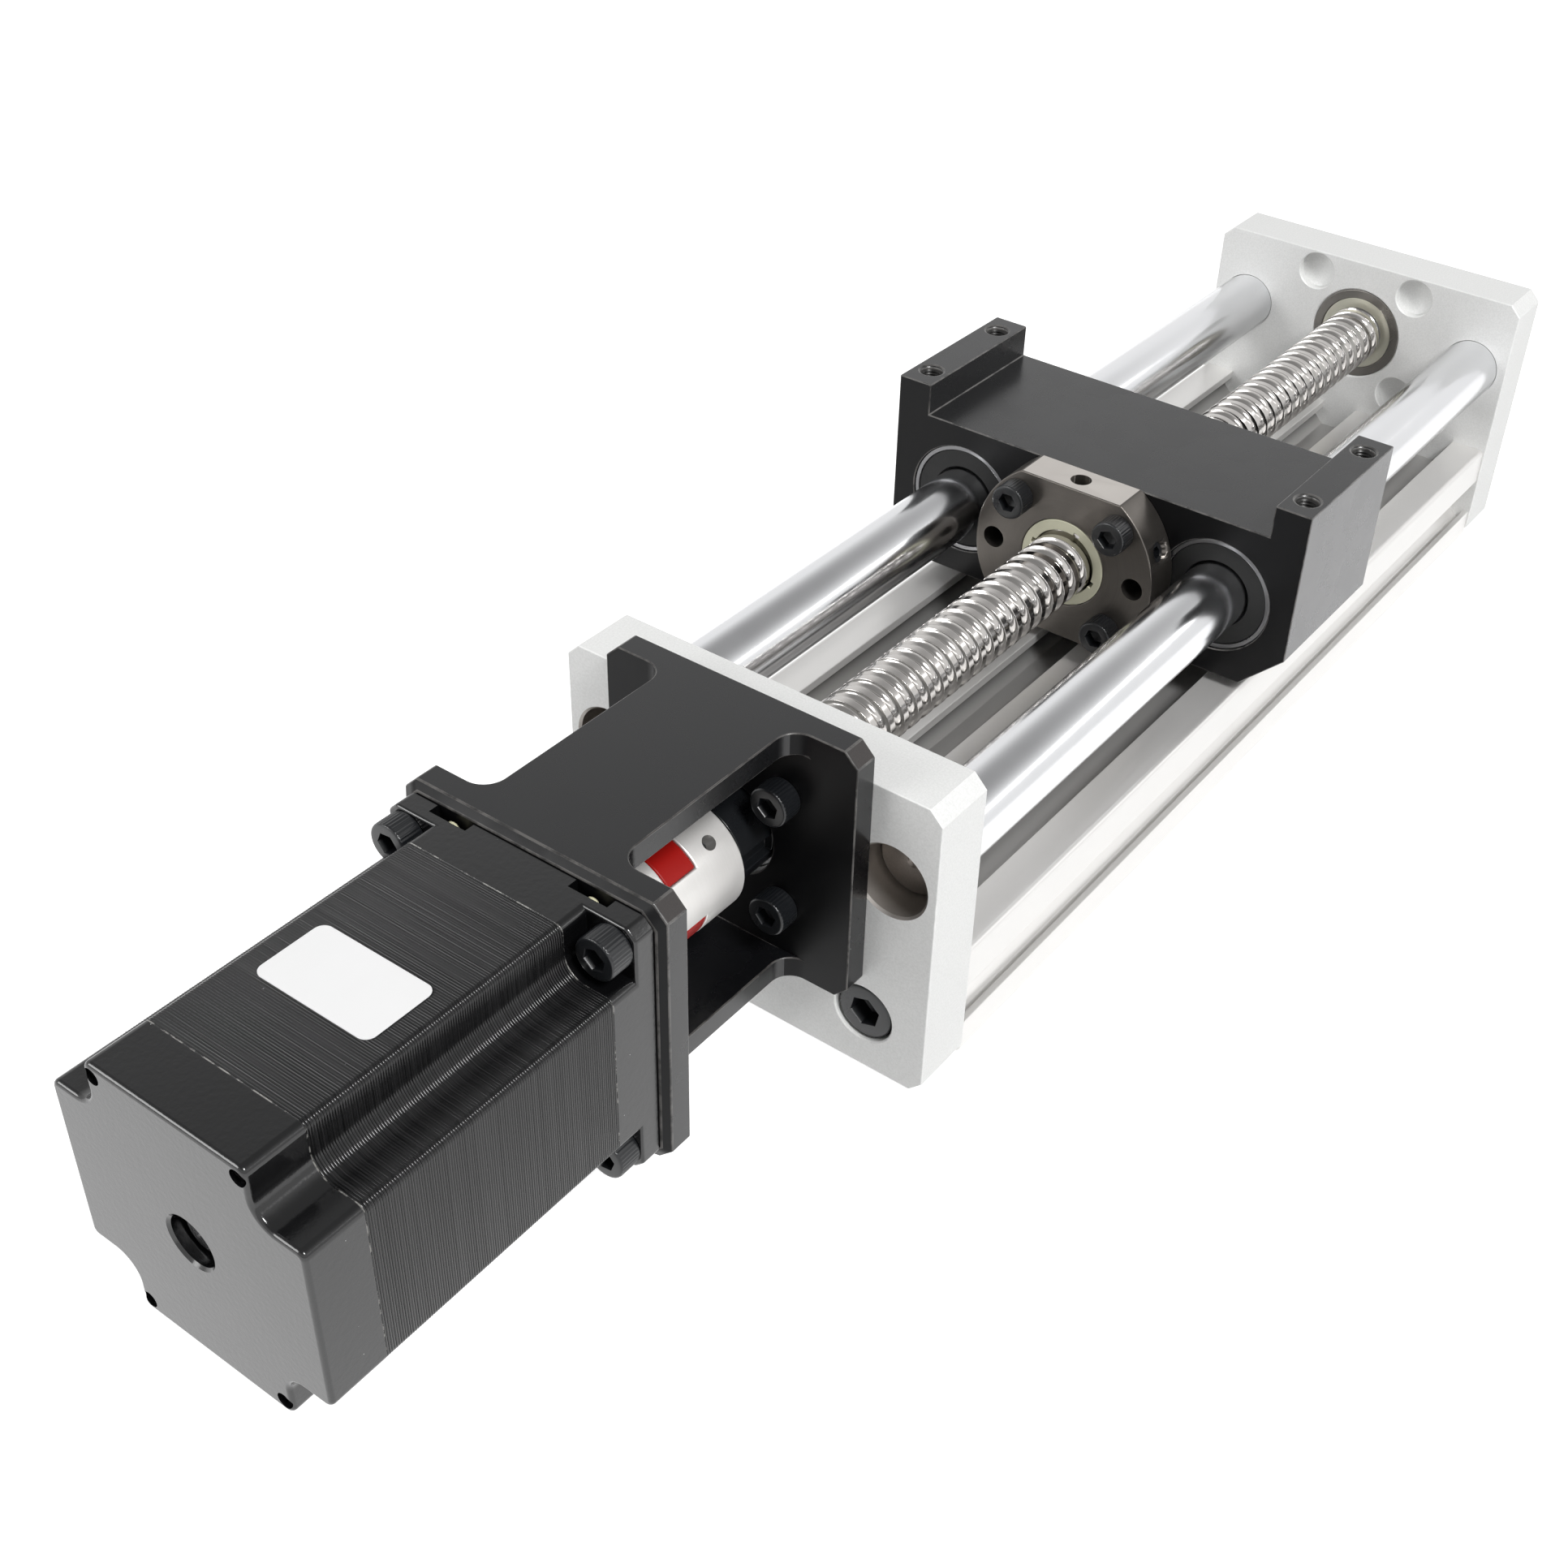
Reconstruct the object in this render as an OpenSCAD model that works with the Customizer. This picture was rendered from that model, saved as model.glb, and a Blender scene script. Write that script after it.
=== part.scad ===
// Ball screw linear module: a stepper motor turns a ball screw that drives a
// carriage along two guide rods above a slotted aluminium rail.
//
// X runs along the screw, away from the motor. Y is across and Z is up.
// The origin is the middle of the rail's underside, which stands on the bench.

/* [Rail] */
// Length of the rail, which is the distance between the end plates
rail_len = 272; // [200:1:900]
// Width of the rail
rail_w = 90; // [84:1:110]
// Height of the rail
rail_h = 28; // [26:0.5:32]
// Distance between neighbouring slots, and between the screw bosses
slot_pitch = 30.5; // [28:0.5:32]
// Opening of each slot
slot_open = 10; // [7:0.5:11]
// Thickness of the lips beside the top and bottom slots
slot_lip = 2.4; // [1.6:0.1:3]
// Depth of each slot
slot_depth = 7.5; // [6:0.5:8]
// Height of the side slot's middle
side_slot_z = 13.2; // [12.5:0.1:14.5]
// Radius of the rail's four long edges
rail_edge_r = 1.4; // [0.5:0.1:3]

/* [End plates] */
// Thickness of both end plates
plate_t = 15; // [13:0.5:20]
// How far both end plates stand out beyond each side of the rail
plate_over = 0.5; // [0:0.5:12]
// Height of both end plates
plate_h = 72; // [70:1:84]
// Corner chamfer of both end plates
plate_chamfer = 3; // [1:0.5:5]
// Height of the screw's axis above the bench
axis_z = 51; // [51:0.5:54]
// Diameter of the recesses round the far bearing
recess_d = 11; // [8:0.5:11]
// Spacing of the recesses, both ways
recess_spacing = 30; // [29:0.5:32]
// Depth of the recesses, down to their cone
recess_depth = 6; // [3:0.5:9]

/* [Guide rods] */
// Diameter of the guide rods
rod_d = 16; // [12:1:16]
// Distance between the rods' axes
rod_spacing = 70; // [70:0.5:74]
// Length of rod held in each end plate
rod_seat = 7.5; // [5:0.5:11]

/* [Ball screw] */
// Outer diameter of the screw
screw_d = 16; // [15.5:0.1:16.2]
// Travel per turn
lead = 5; // [4:1:10]
// Diameter of the balls that run in the groove
ball_d = 3.175; // [3:0.005:3.4]
// Diameter of the circle through the balls' centres
ball_circle_d = 16.8; // [16.5:0.1:17]
// Diameter of the bearing journals
journal_d = 10; // [8:0.5:10]
// Diameter of the screw's end inside the coupling
coupling_journal_d = 8; // [6:0.5:8]

/* [Screw bearings] */
// Outer diameter of the screw's ball bearings
bearing_d = 26; // [26:0.5:28]
// Width of one of the screw's ball bearings
bearing_w = 8; // [7:0.5:9]

/* [Carriage] */
// Length of the carriage block
car_len = 44; // [42:1:80]
// Width of the carriage block
car_w = 110; // [110:1:124]
// Height of the posts' top above the screw's axis
car_up = 27.5; // [25:0.5:34]
// Height of the channel's floor above the screw's axis
floor_up = 19.6; // [18:0.1:22]
// Depth of the block's underside below the screw's axis
car_down = 20.5; // [18.5:0.5:21]
// Width of each raised post
post_w = 9; // [8:0.5:11]
// Chamfer along the block's lower corners
car_chamfer = 10.2; // [4:0.1:11]
// Place of the carriage's middle at rest
car_x = 2; // [-10:1:20]
// Spacing of the table's screw holes along the screw
hole_spacing_x = 30; // [20:1:32]
// Diameter of the table's screw threads
table_thread_d = 5; // [4:0.5:5]
// Length of the linear bearings
lin_len = 37; // [30:1:37]
// Outer diameter of the linear bearings
lin_d = 28; // [24:0.5:28]

/* [Ball nut] */
// Diameter of the nut's flange
nut_flange_d = 48; // [46:0.5:50]
// Thickness of the nut's flange
nut_flange_t = 10; // [8:0.5:12]
// Distance between the flange's top and bottom flats
nut_flats = 40; // [39:0.5:42]
// Diameter of the nut's body
nut_body_d = 28; // [26:0.5:28]
// Length of the nut's body behind the flange
nut_body_len = 40; // [34:1:41]
// Diameter of the circle through the flange's screw holes
nut_pcd = 38; // [37:0.5:39]

/* [Coupling housing] */
// Length of the housing
house_len = 60; // [58:1:70]
// How far the housing stands out beyond each side of the motor
house_over = 1.8; // [1:0.1:3]
// Corner chamfer of the housing's flanges
house_chamfer = 3; // [1:0.5:4]
// Thickness of the flange that carries the motor
motor_flange_t = 6.4; // [6:0.1:8]
// Thickness of the flange on the end plate
end_flange_t = 5.5; // [5:0.5:8]
// Width of the webs above and below the coupling
web_w = 30; // [26:1:34]
// Thickness of the webs
web_t = 5; // [3:0.5:7]
// Radius between the webs and the flanges
web_fillet = 4.6; // [2:0.1:7]
// Diameter of the circle through the housing's screws
house_pcd = 38; // [37:0.5:39]

/* [Coupling] */
// Diameter of the coupling
coup_d = 25; // [20:1:28]
// Length of each hub, without its jaws
hub_len = 11; // [9:0.5:12]
// Gap between the hubs, which the spider fills
spider_len = 8; // [6:0.5:9]
// Angle that each jaw spans
jaw_angle = 50; // [35:1:55]

/* [Motor] */
// Width and height of the motor's face
motor_w = 56.4; // [56:0.1:57]
// Length of the motor without its boss and shaft
motor_len = 76; // [56:1:112]
// Length of the rear end cap
rear_cap_len = 11.4; // [10:0.1:14]
// Length of the front end cap with its flange
front_cap_len = 10.4; // [9.5:0.1:14]
// Thickness of the motor's square flange
flange_t = 4.6; // [4:0.1:6]
// Distance from the motor's sides to its mounting screws
hole_inset = 4.63; // [4.4:0.01:4.8]
// Clearance between the mounting screws' heads and the walls of the corner notches
notch_gap = 1.52; // [1:0.02:1.8]
// Thickness of the stator from its bore to the motor's sides
stator_wall = 9.2; // [9:0.1:12]
// Length of the label along the motor
label_len = 14.8; // [10:0.1:24]
// Width of the label across the motor
label_w = 25.5; // [16:0.5:36]
// Distance from the rear end cap to the label
label_gap = 16.6; // [4:0.1:24]
// Diameter of the motor's locating boss
boss_d = 38.1; // [36:0.1:40]
// Diameter of the motor's shaft
shaft_d = 8; // [6:0.05:8]

/* [Fits] */
// Radial clearance of pieces that are seated in a bore
seat_gap = 0.05; // [0.02:0.01:0.15]
// Radial clearance of the guide rods in their bearings
running_gap = 0.05; // [0.03:0.01:0.1]
// Clearance between pieces that turn or slide past each other
free_gap = 0.4; // [0.3:0.05:0.8]
// Clearance round each ball in the nut
ball_gap = 0.25; // [0.2:0.05:0.4]

/* [Hidden] */

$fn = 48;
eps = 0.01;

// Colours
silver = [0.86, 0.86, 0.85];
black_alu = [0.13, 0.13, 0.135];
black_paint = [0.10, 0.10, 0.105];
chrome = [0.78, 0.79, 0.80];
steel = [0.55, 0.53, 0.50];
oxide = [0.16, 0.17, 0.18];
rubber = [0.07, 0.07, 0.07];

// Socket head cap screws: [thread diameter, head diameter, socket across flats]
M3 = [3, 3.4, 1.5];
M5 = [5, 8.5, 4];
M8 = [8, 13, 6];

// Places along the screw
near_x = -rail_len / 2;
far_x = rail_len / 2;
near_out = near_x - plate_t;
far_out = far_x + plate_t;
plate_w = rail_w + 2 * plate_over;
plate_screw_len = 30;
house_w = motor_w + 2 * house_over;
house_h = motor_w + 2 * house_over;
motor_x = near_out - house_len;
rear_x = motor_x - motor_len;
front_cap_x = motor_x - front_cap_len;
rear_cap_x = rear_x + rear_cap_len;
motor_half = motor_w / 2;
motor_hole_spacing = motor_w - 2 * hole_inset;
notch_wall = motor_hole_spacing / 2 - M5[1] / 2 - notch_gap;
stator_bore_r = motor_half - stator_wall;
motor_bearing_r = 11;
motor_bearing_w = 7;
case_seat_x = rear_x + 4.2;
case_y = notch_wall - 1.8;
case_z = motor_half - 2.5;
lead_len = 5.5;
lead_w = 12;
lead_depth = 3;

// Screw bearings: a pair at the motor end and one at the far end
plate_lip = 1.5;
pair_end = near_x - plate_lip;
pair_start = pair_end - 2 * bearing_w;
far_seat_depth = bearing_w + 0.2;
bearing_outer_in = bearing_d / 2 - 2.6;
bearing_inner_out = journal_d / 2 + 2.2;
lip_r = bearing_d / 2 - 3;

// Threaded part of the screw
thread_start = near_x + 1;
thread_end = far_x - 1.5;
thread_seg = 16;
thread_edge = 0.3;
crest_r = screw_d / 2;
ball_r = ball_d / 2;
ball_circle_r = ball_circle_d / 2;
groove_half = sqrt(pow(ball_r, 2) - pow(ball_circle_r - crest_r, 2));
groove_mid = lead - groove_half;
thread_rows = floor((thread_end - thread_start - 2 * thread_edge - lead) / lead * thread_seg);
thread_x = thread_end - thread_edge - lead * (thread_rows / thread_seg + 1);

// Lock nut and coupling
lock_w = 11.5;
lock_x = pair_start - lock_w;
lock_r = lip_r + 0.4;
hub_screw_end = lock_x - 1.7;
hub_screw_x = hub_screw_end - hub_len;
hub_motor_end = hub_screw_x - spider_len;
hub_motor_x = hub_motor_end - hub_len;
coup_r = coup_d / 2;
jaw_turn = 166;
grub_turn = 131;
grub_r = 1.5;
shaft_out = 21;

// Carriage and nut
car_x0 = car_x - car_len / 2;
car_x1 = car_x + car_len / 2;
nut_x0 = car_x0 - nut_flange_t;
nut_x1 = car_x0 + nut_body_len;
nut_bore_r = crest_r + free_gap;
wiper_r = 11;
wiper_t = 2.5;
lin_x0 = car_x0 + 0.5;
seal_t = 2;
post_y = (car_w - post_w) / 2;
plug_turn = 158;

// Rows that repeat
diagonals = [45, 135, 225, 315];
sides = [1, -1];

// Straight solid along X from a profile drawn in Y and Z
module along_x(x0, x1) {
    translate([x0, 0, 0]) rotate([90, 0, 90]) linear_extrude(x1 - x0) children();
}

// Round bar along X
module bar(r, x0, x1, y = 0, z = axis_z) {
    translate([x0, y, z]) rotate([0, 90, 0]) cylinder(r = r, h = x1 - x0);
}

// Cone along X
module cone(r0, r1, x0, x1, y = 0, z = axis_z) {
    translate([x0, y, z]) rotate([0, 90, 0]) cylinder(r1 = r0, r2 = r1, h = x1 - x0);
}

// Ring along X
module ring(r_out, r_in, x0, x1, y = 0, z = axis_z) {
    difference() {
        bar(r_out, x0, x1, y, z);
        bar(r_in, x0 - 1, x1 + 1, y, z);
    }
}

// Turns its children about the screw's axis
module about_axis(angle) {
    translate([0, 0, axis_z]) rotate([angle, 0, 0]) translate([0, 0, -axis_z]) children();
}

// Hexagonal bar along X, sized across its flats
module hex_bar(flats, x0, x1, y = 0, z = axis_z) {
    translate([x0, y, z]) rotate([0, 90, 0]) cylinder(d = flats / cos(30), h = x1 - x0, $fn = 6);
}

// Rectangle with cut corners, centred on Y, standing on z0
module cut_rect(w, h, c, z0 = 0) {
    translate([0, z0]) polygon([
        [-w / 2 + c, 0], [w / 2 - c, 0], [w / 2, c], [w / 2, h - c],
        [w / 2 - c, h], [-w / 2 + c, h], [-w / 2, h - c], [-w / 2, c]
    ]);
}

// Socket head cap screw along +X with its head's seat at x
module cap_screw(size, x, shank, y, z) {
    head = size[0];
    socket = 0.55 * head;
    difference() {
        union() {
            cone(size[1] / 2 - 0.06 * head, size[1] / 2, x - head, x - 0.94 * head, y, z);
            bar(size[1] / 2, x - 0.94 * head, x, y, z);
            bar(size[0] / 2, x, x + shank, y, z);
        }
        hex_bar(size[2], x - head - 1, x - head + socket, y, z);
    }
}

// ---------------------------------------------------------------- rail

// One slot, opening upwards at the origin
module slot_cut(lip, depth) {
    cavity = slot_open + 5;
    floor_w = slot_open - 1;
    translate([-slot_open / 2, -lip - 0.5]) square([slot_open, lip + 1.5]);
    polygon([
        [-cavity / 2, -lip], [cavity / 2, -lip], [cavity / 2, -lip - 2],
        [floor_w / 2, -depth], [-floor_w / 2, -depth], [-cavity / 2, -lip - 2]
    ]);
}

module rail_profile() {
    side_lip = 1.7;
    side_depth = slot_depth - 0.5;
    hollow_w = 9;
    hollow_h = rail_h - 11;
    difference() {
        union() {
            translate([-rail_w / 2, rail_edge_r]) square([rail_w, rail_h - 2 * rail_edge_r]);
            translate([-rail_w / 2 + rail_edge_r, 0]) square([rail_w - 2 * rail_edge_r, rail_h]);
            for (s = sides, z = [rail_edge_r, rail_h - rail_edge_r])
                translate([s * (rail_w / 2 - rail_edge_r), z]) circle(rail_edge_r, $fn = 24);
        }
        for (i = [-1:1]) {
            translate([i * slot_pitch, rail_h]) slot_cut(slot_lip, slot_depth);
            translate([i * slot_pitch, 0]) mirror([0, 1]) slot_cut(slot_lip, slot_depth);
        }
        for (s = sides) {
            translate([s * rail_w / 2, side_slot_z]) rotate(-90 * s) slot_cut(side_lip, side_depth);
            translate([s * slot_pitch / 2 - hollow_w / 2, (rail_h - hollow_h) / 2])
                square([hollow_w, hollow_h]);
        }
    }
}

module base_rail() {
    color(silver) difference() {
        along_x(near_x, far_x) rail_profile();
        for (s = sides) bar(M8[0] / 2 + seat_gap, near_x - 1, far_x + 1, s * slot_pitch, rail_h / 2);
    }
}

// ---------------------------------------------------------- end plates

// Counterbore and hole for the screws that hold a plate to the rail
module plate_screw_holes(outer_x, inward) {
    depth = M8[0] + 0.6;
    a = min(outer_x - inward, outer_x + inward * depth);
    b = max(outer_x - inward, outer_x + inward * depth);
    for (s = sides) {
        bar(M8[1] / 2 + 0.4, a, b, s * slot_pitch, rail_h / 2);
        bar(M8[0] / 2 + 0.4, outer_x - plate_t - 1, outer_x + plate_t + 1, s * slot_pitch, rail_h / 2);
    }
}

// Through bores for the rods, with their broken outer edge
module rod_bores(x0, x1, outer_x, inward) {
    r = rod_d / 2 + seat_gap;
    for (s = sides) {
        bar(r, x0 - 1, x1 + 1, s * rod_spacing / 2);
        if (inward > 0) cone(r + 0.5, r, outer_x - eps, outer_x + 0.5, s * rod_spacing / 2);
        else cone(r, r + 0.5, outer_x - 0.5, outer_x + eps, s * rod_spacing / 2);
    }
}

module motor_end_plate() {
    color(silver) difference() {
        along_x(near_out, near_x) cut_rect(plate_w, plate_h, plate_chamfer);
        rod_bores(near_out, near_x, near_out, 1);
        plate_screw_holes(near_out, 1);
        bar(bearing_d / 2 + seat_gap, near_out - 1, pair_end);
        bar(lip_r, near_out, near_x + 1);
        for (a = diagonals) about_axis(a)
            bar(M5[0] / 2 + seat_gap, near_out - 1, near_out + 11, house_pcd / 2);
    }
}

module far_end_plate() {
    color(silver) difference() {
        along_x(far_x, far_out) cut_rect(plate_w, plate_h, plate_chamfer);
        rod_bores(far_x, far_out, far_out, -1);
        plate_screw_holes(far_out, -1);
        bar(bearing_d / 2 + seat_gap, far_x - 1, far_x + far_seat_depth);
        bar(lip_r, far_x, far_out + 1);
        for (sy = sides, sz = sides) {
            y = sy * recess_spacing / 2;
            z = axis_z + sz * recess_spacing / 2;
            bar(recess_d / 2, far_x - 1, far_x + recess_depth, y, z);
            cone(recess_d / 2, 0.4, far_x + recess_depth - eps, far_x + recess_depth + 0.3 * recess_d, y, z);
        }
    }
}

module plate_screw(side, far) {
    color(oxide)
        if (far) translate([far_out, 0, 0]) mirror([1, 0, 0])
            cap_screw(M8, M8[0] + 0.6, plate_screw_len, side * slot_pitch, rail_h / 2);
        else translate([near_out, 0, 0])
            cap_screw(M8, M8[0] + 0.6, plate_screw_len, side * slot_pitch, rail_h / 2);
}

// ---------------------------------------------------------- guide rods

module guide_rod(side) {
    y = side * rod_spacing / 2;
    x0 = near_x - rod_seat;
    x1 = far_x + rod_seat;
    r = rod_d / 2;
    c = 0.8;
    color(chrome) union() {
        cone(r - c, r, x0, x0 + c, y);
        bar(r, x0 + c, x1 - c, y);
        cone(r, r - c, x1 - c, x1, y);
    }
}

// ---------------------------------------------------------- ball screw

// Helical groove. Each row of points crosses one lead: a flat crest and then
// the round groove that the balls run in. Rows follow the helix, and the
// crest of the next turn closes each one.
module thread() {
    profile = [
        [0, crest_r],
        [groove_mid - groove_half, crest_r],
        for (d = [-0.66, 0, 0.66] * groove_half)
            [groove_mid + d, ball_circle_r - sqrt(pow(ball_r, 2) - pow(d, 2))]
    ];
    m = len(profile);
    seg = thread_seg;
    rows = thread_rows;

    function at(i, s, r) = [thread_x + lead * i / seg + s, r * cos(i * 360 / seg), r * sin(i * 360 / seg)];
    function crest_id(i) = i <= rows ? i * m : rows * m + m + (i - rows - 1);
    function id(i, j) = j == m ? crest_id(i + seg) : (j == 0 ? crest_id(i) : i * m + j);

    body = [for (i = [0:rows], j = [0:m - 1]) at(i, profile[j][0], profile[j][1])];
    last_crest = [for (i = [rows + 1:rows + seg]) at(i, 0, crest_r)];
    first_ring = [
        for (i = [0:seg - 1]) let (a = i * 360 / seg)
            [thread_start, crest_r * cos(a), crest_r * sin(a)]
    ];
    last_ring = [
        for (i = [0:seg - 1]) let (a = (rows + i) * 360 / seg)
            [thread_end, crest_r * cos(a), crest_r * sin(a)]
    ];
    points = concat(body, last_crest, first_ring, last_ring);
    f0 = len(body) + len(last_crest);
    l0 = f0 + seg;

    strips = [for (i = [0:rows - 1], j = [0:m - 1]) each [
        [id(i, j), id(i, j + 1), id(i + 1, j + 1)],
        [id(i, j), id(i + 1, j + 1), id(i + 1, j)]
    ]];
    start_band = concat(
        [for (i = [0:seg - 2]) [f0 + i, id(i, 0), id(i + 1, 0), f0 + i + 1]],
        [for (p = [[id(seg, 0), id(0, 1)], [id(0, 1), id(0, 0)], [id(0, 0), f0], [f0, f0 + seg - 1]])
            concat(id(seg - 1, 0), p)]
    );
    end_band = concat(
        [for (p = [[id(rows, 0), id(rows, 1)], [id(rows, 1), id(rows + seg, 0)], [id(rows + seg, 0), l0], [l0, l0 + 1]])
            concat(p, id(rows + 1, 0))],
        [for (i = [1:seg - 1]) [id(rows + i, 0), l0 + i, l0 + (i + 1) % seg, id(rows + i + 1, 0)]]
    );
    groove_ends = [
        [for (j = [1:m]) id(0, m + 1 - j)],
        [for (j = [1:m]) id(rows, j)]
    ];
    discs = [
        [for (i = [0:seg - 1]) f0 + i],
        [for (i = [0:seg - 1]) l0 + seg - 1 - i]
    ];
    translate([0, 0, axis_z])
        polyhedron(points, concat(strips, start_band, end_band, groove_ends, discs));
}

module ball_screw() {
    journal_r = journal_d / 2;
    shoulder_r = bearing_inner_out - 0.2;
    tip = 0.5;
    end_x = hub_screw_x + 1;
    color(chrome) union() {
        thread();
        bar(shoulder_r, pair_end, thread_start);
        bar(journal_r, lock_x, pair_end);
        bar(coupling_journal_d / 2, end_x + tip, lock_x);
        cone(coupling_journal_d / 2 - tip, coupling_journal_d / 2, end_x, end_x + tip);
        bar(shoulder_r, thread_end, far_x + 0.2);
        bar(journal_r, far_x + 0.2, far_x + far_seat_depth + 2);
        cone(journal_r, journal_r - tip, far_x + far_seat_depth + 2, far_x + far_seat_depth + 2 + tip);
    }
}

// Outer ring with its raceway shoulders
module bearing_outer(x0) {
    ring(bearing_d / 2, bearing_outer_in, x0, x0 + bearing_w);
}

// Inner ring
module bearing_inner(x0) {
    ring(bearing_inner_out, journal_d / 2 + seat_gap, x0, x0 + bearing_w);
}

// Ring-shaped shield between the rings, held by the outer ring
module bearing_shield(x0) {
    ring(bearing_outer_in, bearing_inner_out + free_gap, x0, x0 + 0.8);
}

module near_bearing_outer() {
    color(steel) for (i = [0, 1]) {
        bearing_outer(pair_start + i * bearing_w);
        bearing_shield(pair_start + i * (2 * bearing_w - 0.8));
    }
}

module near_bearing_inner() {
    color(steel) for (i = [0, 1]) bearing_inner(pair_start + i * bearing_w);
}

module far_bearing_outer() {
    color([0.2, 0.19, 0.2]) bearing_outer(far_x + 0.2);
}

module far_bearing_shield() {
    color([0.62, 0.62, 0.5]) bearing_shield(far_x + 0.4);
}

module far_bearing_inner() {
    color(steel) bearing_inner(far_x + 0.2);
}

module lock_nut() {
    slot_w = 4;
    color(oxide) difference() {
        ring(lock_r, journal_d / 2 + seat_gap, lock_x, pair_start);
        for (a = [0:90:270]) about_axis(a)
            translate([lock_x - 1, -slot_w / 2, axis_z + lock_r - 2]) cube([lock_w - 1, slot_w, 4]);
    }
}

// -------------------------------------------------- coupling and housing

// Ring sector drawn in Y and Z round the screw's axis
module sector(r_out, r_in, mid_angle, span) {
    reach = 2 * r_out;
    intersection() {
        difference() {
            circle(r_out);
            circle(r_in);
        }
        polygon([
            [0, 0],
            for (t = [-1, 1]) reach * [cos(mid_angle + t * span / 2), sin(mid_angle + t * span / 2)]
        ]);
    }
}

// Coupling hub from x0 to x1 with two jaws that reach to jaw_x
module hub(x0, x1, jaw_x, bore_r, turn) {
    jaw_in = coup_r - 6.5;
    grub_x = (x0 + x1) / 2;
    difference() {
        union() {
            bar(coup_r, x0, x1);
            for (t = [0, 180]) translate([0, 0, axis_z])
                along_x(min(x0, jaw_x), max(x1, jaw_x)) sector(coup_r, jaw_in, turn + t, jaw_angle);
        }
        bar(bore_r + seat_gap, x0 - 1, x1 + 1);
        about_axis(grub_turn) translate([grub_x, 0, axis_z]) rotate([-90, 0, 0])
            cylinder(r = grub_r + seat_gap, h = coup_r + 1, $fn = 24);
    }
}

module coupling_hub_screw() {
    color(silver) hub(hub_screw_x, hub_screw_end, hub_motor_end + 0.3, coupling_journal_d / 2, jaw_turn);
}

module coupling_hub_motor() {
    color(silver) hub(hub_motor_x, hub_motor_end, hub_screw_x - 0.3, shaft_d / 2, jaw_turn - 90);
}

module coupling_spider() {
    leg_angle = 90 - jaw_angle - 1;
    core_r = coup_r - 6.5 - 0.1;
    color([0.75, 0.12, 0.1]) translate([0, 0, axis_z])
        along_x(hub_motor_end + 0.1, hub_screw_x - 0.1) difference() {
            union() {
                circle(core_r);
                for (t = [45:90:315]) sector(coup_r - 0.1, core_r - 1, jaw_turn + t, leg_angle);
            }
            circle(3.2);
        }
}

// Set screw in a hub, bearing on its shaft
module grub_screw(mid_x, shaft_r) {
    reach = 5;
    color(oxide) about_axis(grub_turn) translate([mid_x, 0, axis_z]) rotate([-90, 0, 0]) difference() {
        translate([0, 0, shaft_r + seat_gap]) cylinder(r = grub_r, h = reach, $fn = 24);
        translate([0, 0, shaft_r + reach - 1.5]) cylinder(d = 1.5 / cos(30), h = 3, $fn = 6);
    }
}

module coupling_housing() {
    bevel = 1.4;
    z0 = axis_z - house_h / 2;
    in_x0 = motor_x + motor_flange_t;
    in_x1 = near_out - end_flange_t;
    window_z = house_h - 2 * web_t;
    window_y = house_w / 2 - web_w / 2;
    color(black_alu) difference() {
        union() {
            hull() {
                along_x(motor_x, motor_x + eps) cut_rect(house_w - 2 * bevel, house_h - 2 * bevel, house_chamfer, z0 + bevel);
                along_x(motor_x + bevel, motor_x + bevel + eps) cut_rect(house_w, house_h, house_chamfer, z0);
            }
            along_x(motor_x + bevel, near_out) cut_rect(house_w, house_h, house_chamfer, z0);
        }
        // side pockets, right through from top to bottom
        for (s = sides) translate([0, s * (web_w / 2 + window_y), 0]) mirror([0, s > 0 ? 1 : 0, 0])
            pocket(in_x0, in_x1, window_y, z0);
        // window through the middle, between the webs
        translate([in_x0, -house_w / 2 - 1, z0 + web_t]) cube([in_x1 - in_x0, house_w + 2, window_z]);
        bar(boss_d / 2 + seat_gap, motor_x - 1, motor_x + 2.1);
        bar(coup_r + 3, motor_x, in_x0 + 1);
        bar(lip_r + 1.2, in_x1 - 1, near_out + 1);
        bar(bearing_d / 2 + seat_gap, pair_start - 0.3, near_out + 1);
        for (a = diagonals) about_axis(a)
            bar(M5[0] / 2 + 0.25, in_x1 - 1, near_out + 1, house_pcd / 2);
        for (sy = sides, sz = sides)
            bar(M5[0] / 2 + seat_gap, motor_x - 1, in_x0 + 1, sy * motor_hole_spacing / 2, axis_z + sz * motor_hole_spacing / 2);
    }
}

// Side pocket open towards -Y, its two inner corners rounded
module pocket(x0, x1, depth, z0) {
    r = web_fillet;
    translate([0, 0, z0 - 1]) linear_extrude(house_h + 2) union() {
        translate([x0, -1]) square([x1 - x0, depth + 1 - r]);
        translate([x0 + r, -1]) square([x1 - x0 - 2 * r, depth + 1]);
        for (x = [x0 + r, x1 - r]) translate([x, depth - r]) circle(r);
    }
}

module housing_screw(i) {
    a = diagonals[i];
    y = house_pcd / 2 * cos(a);
    z = axis_z + house_pcd / 2 * sin(a);
    color(oxide) cap_screw(M5, near_out - end_flange_t, end_flange_t + 10, y, z);
}

// --------------------------------------------------------------- motor

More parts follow.
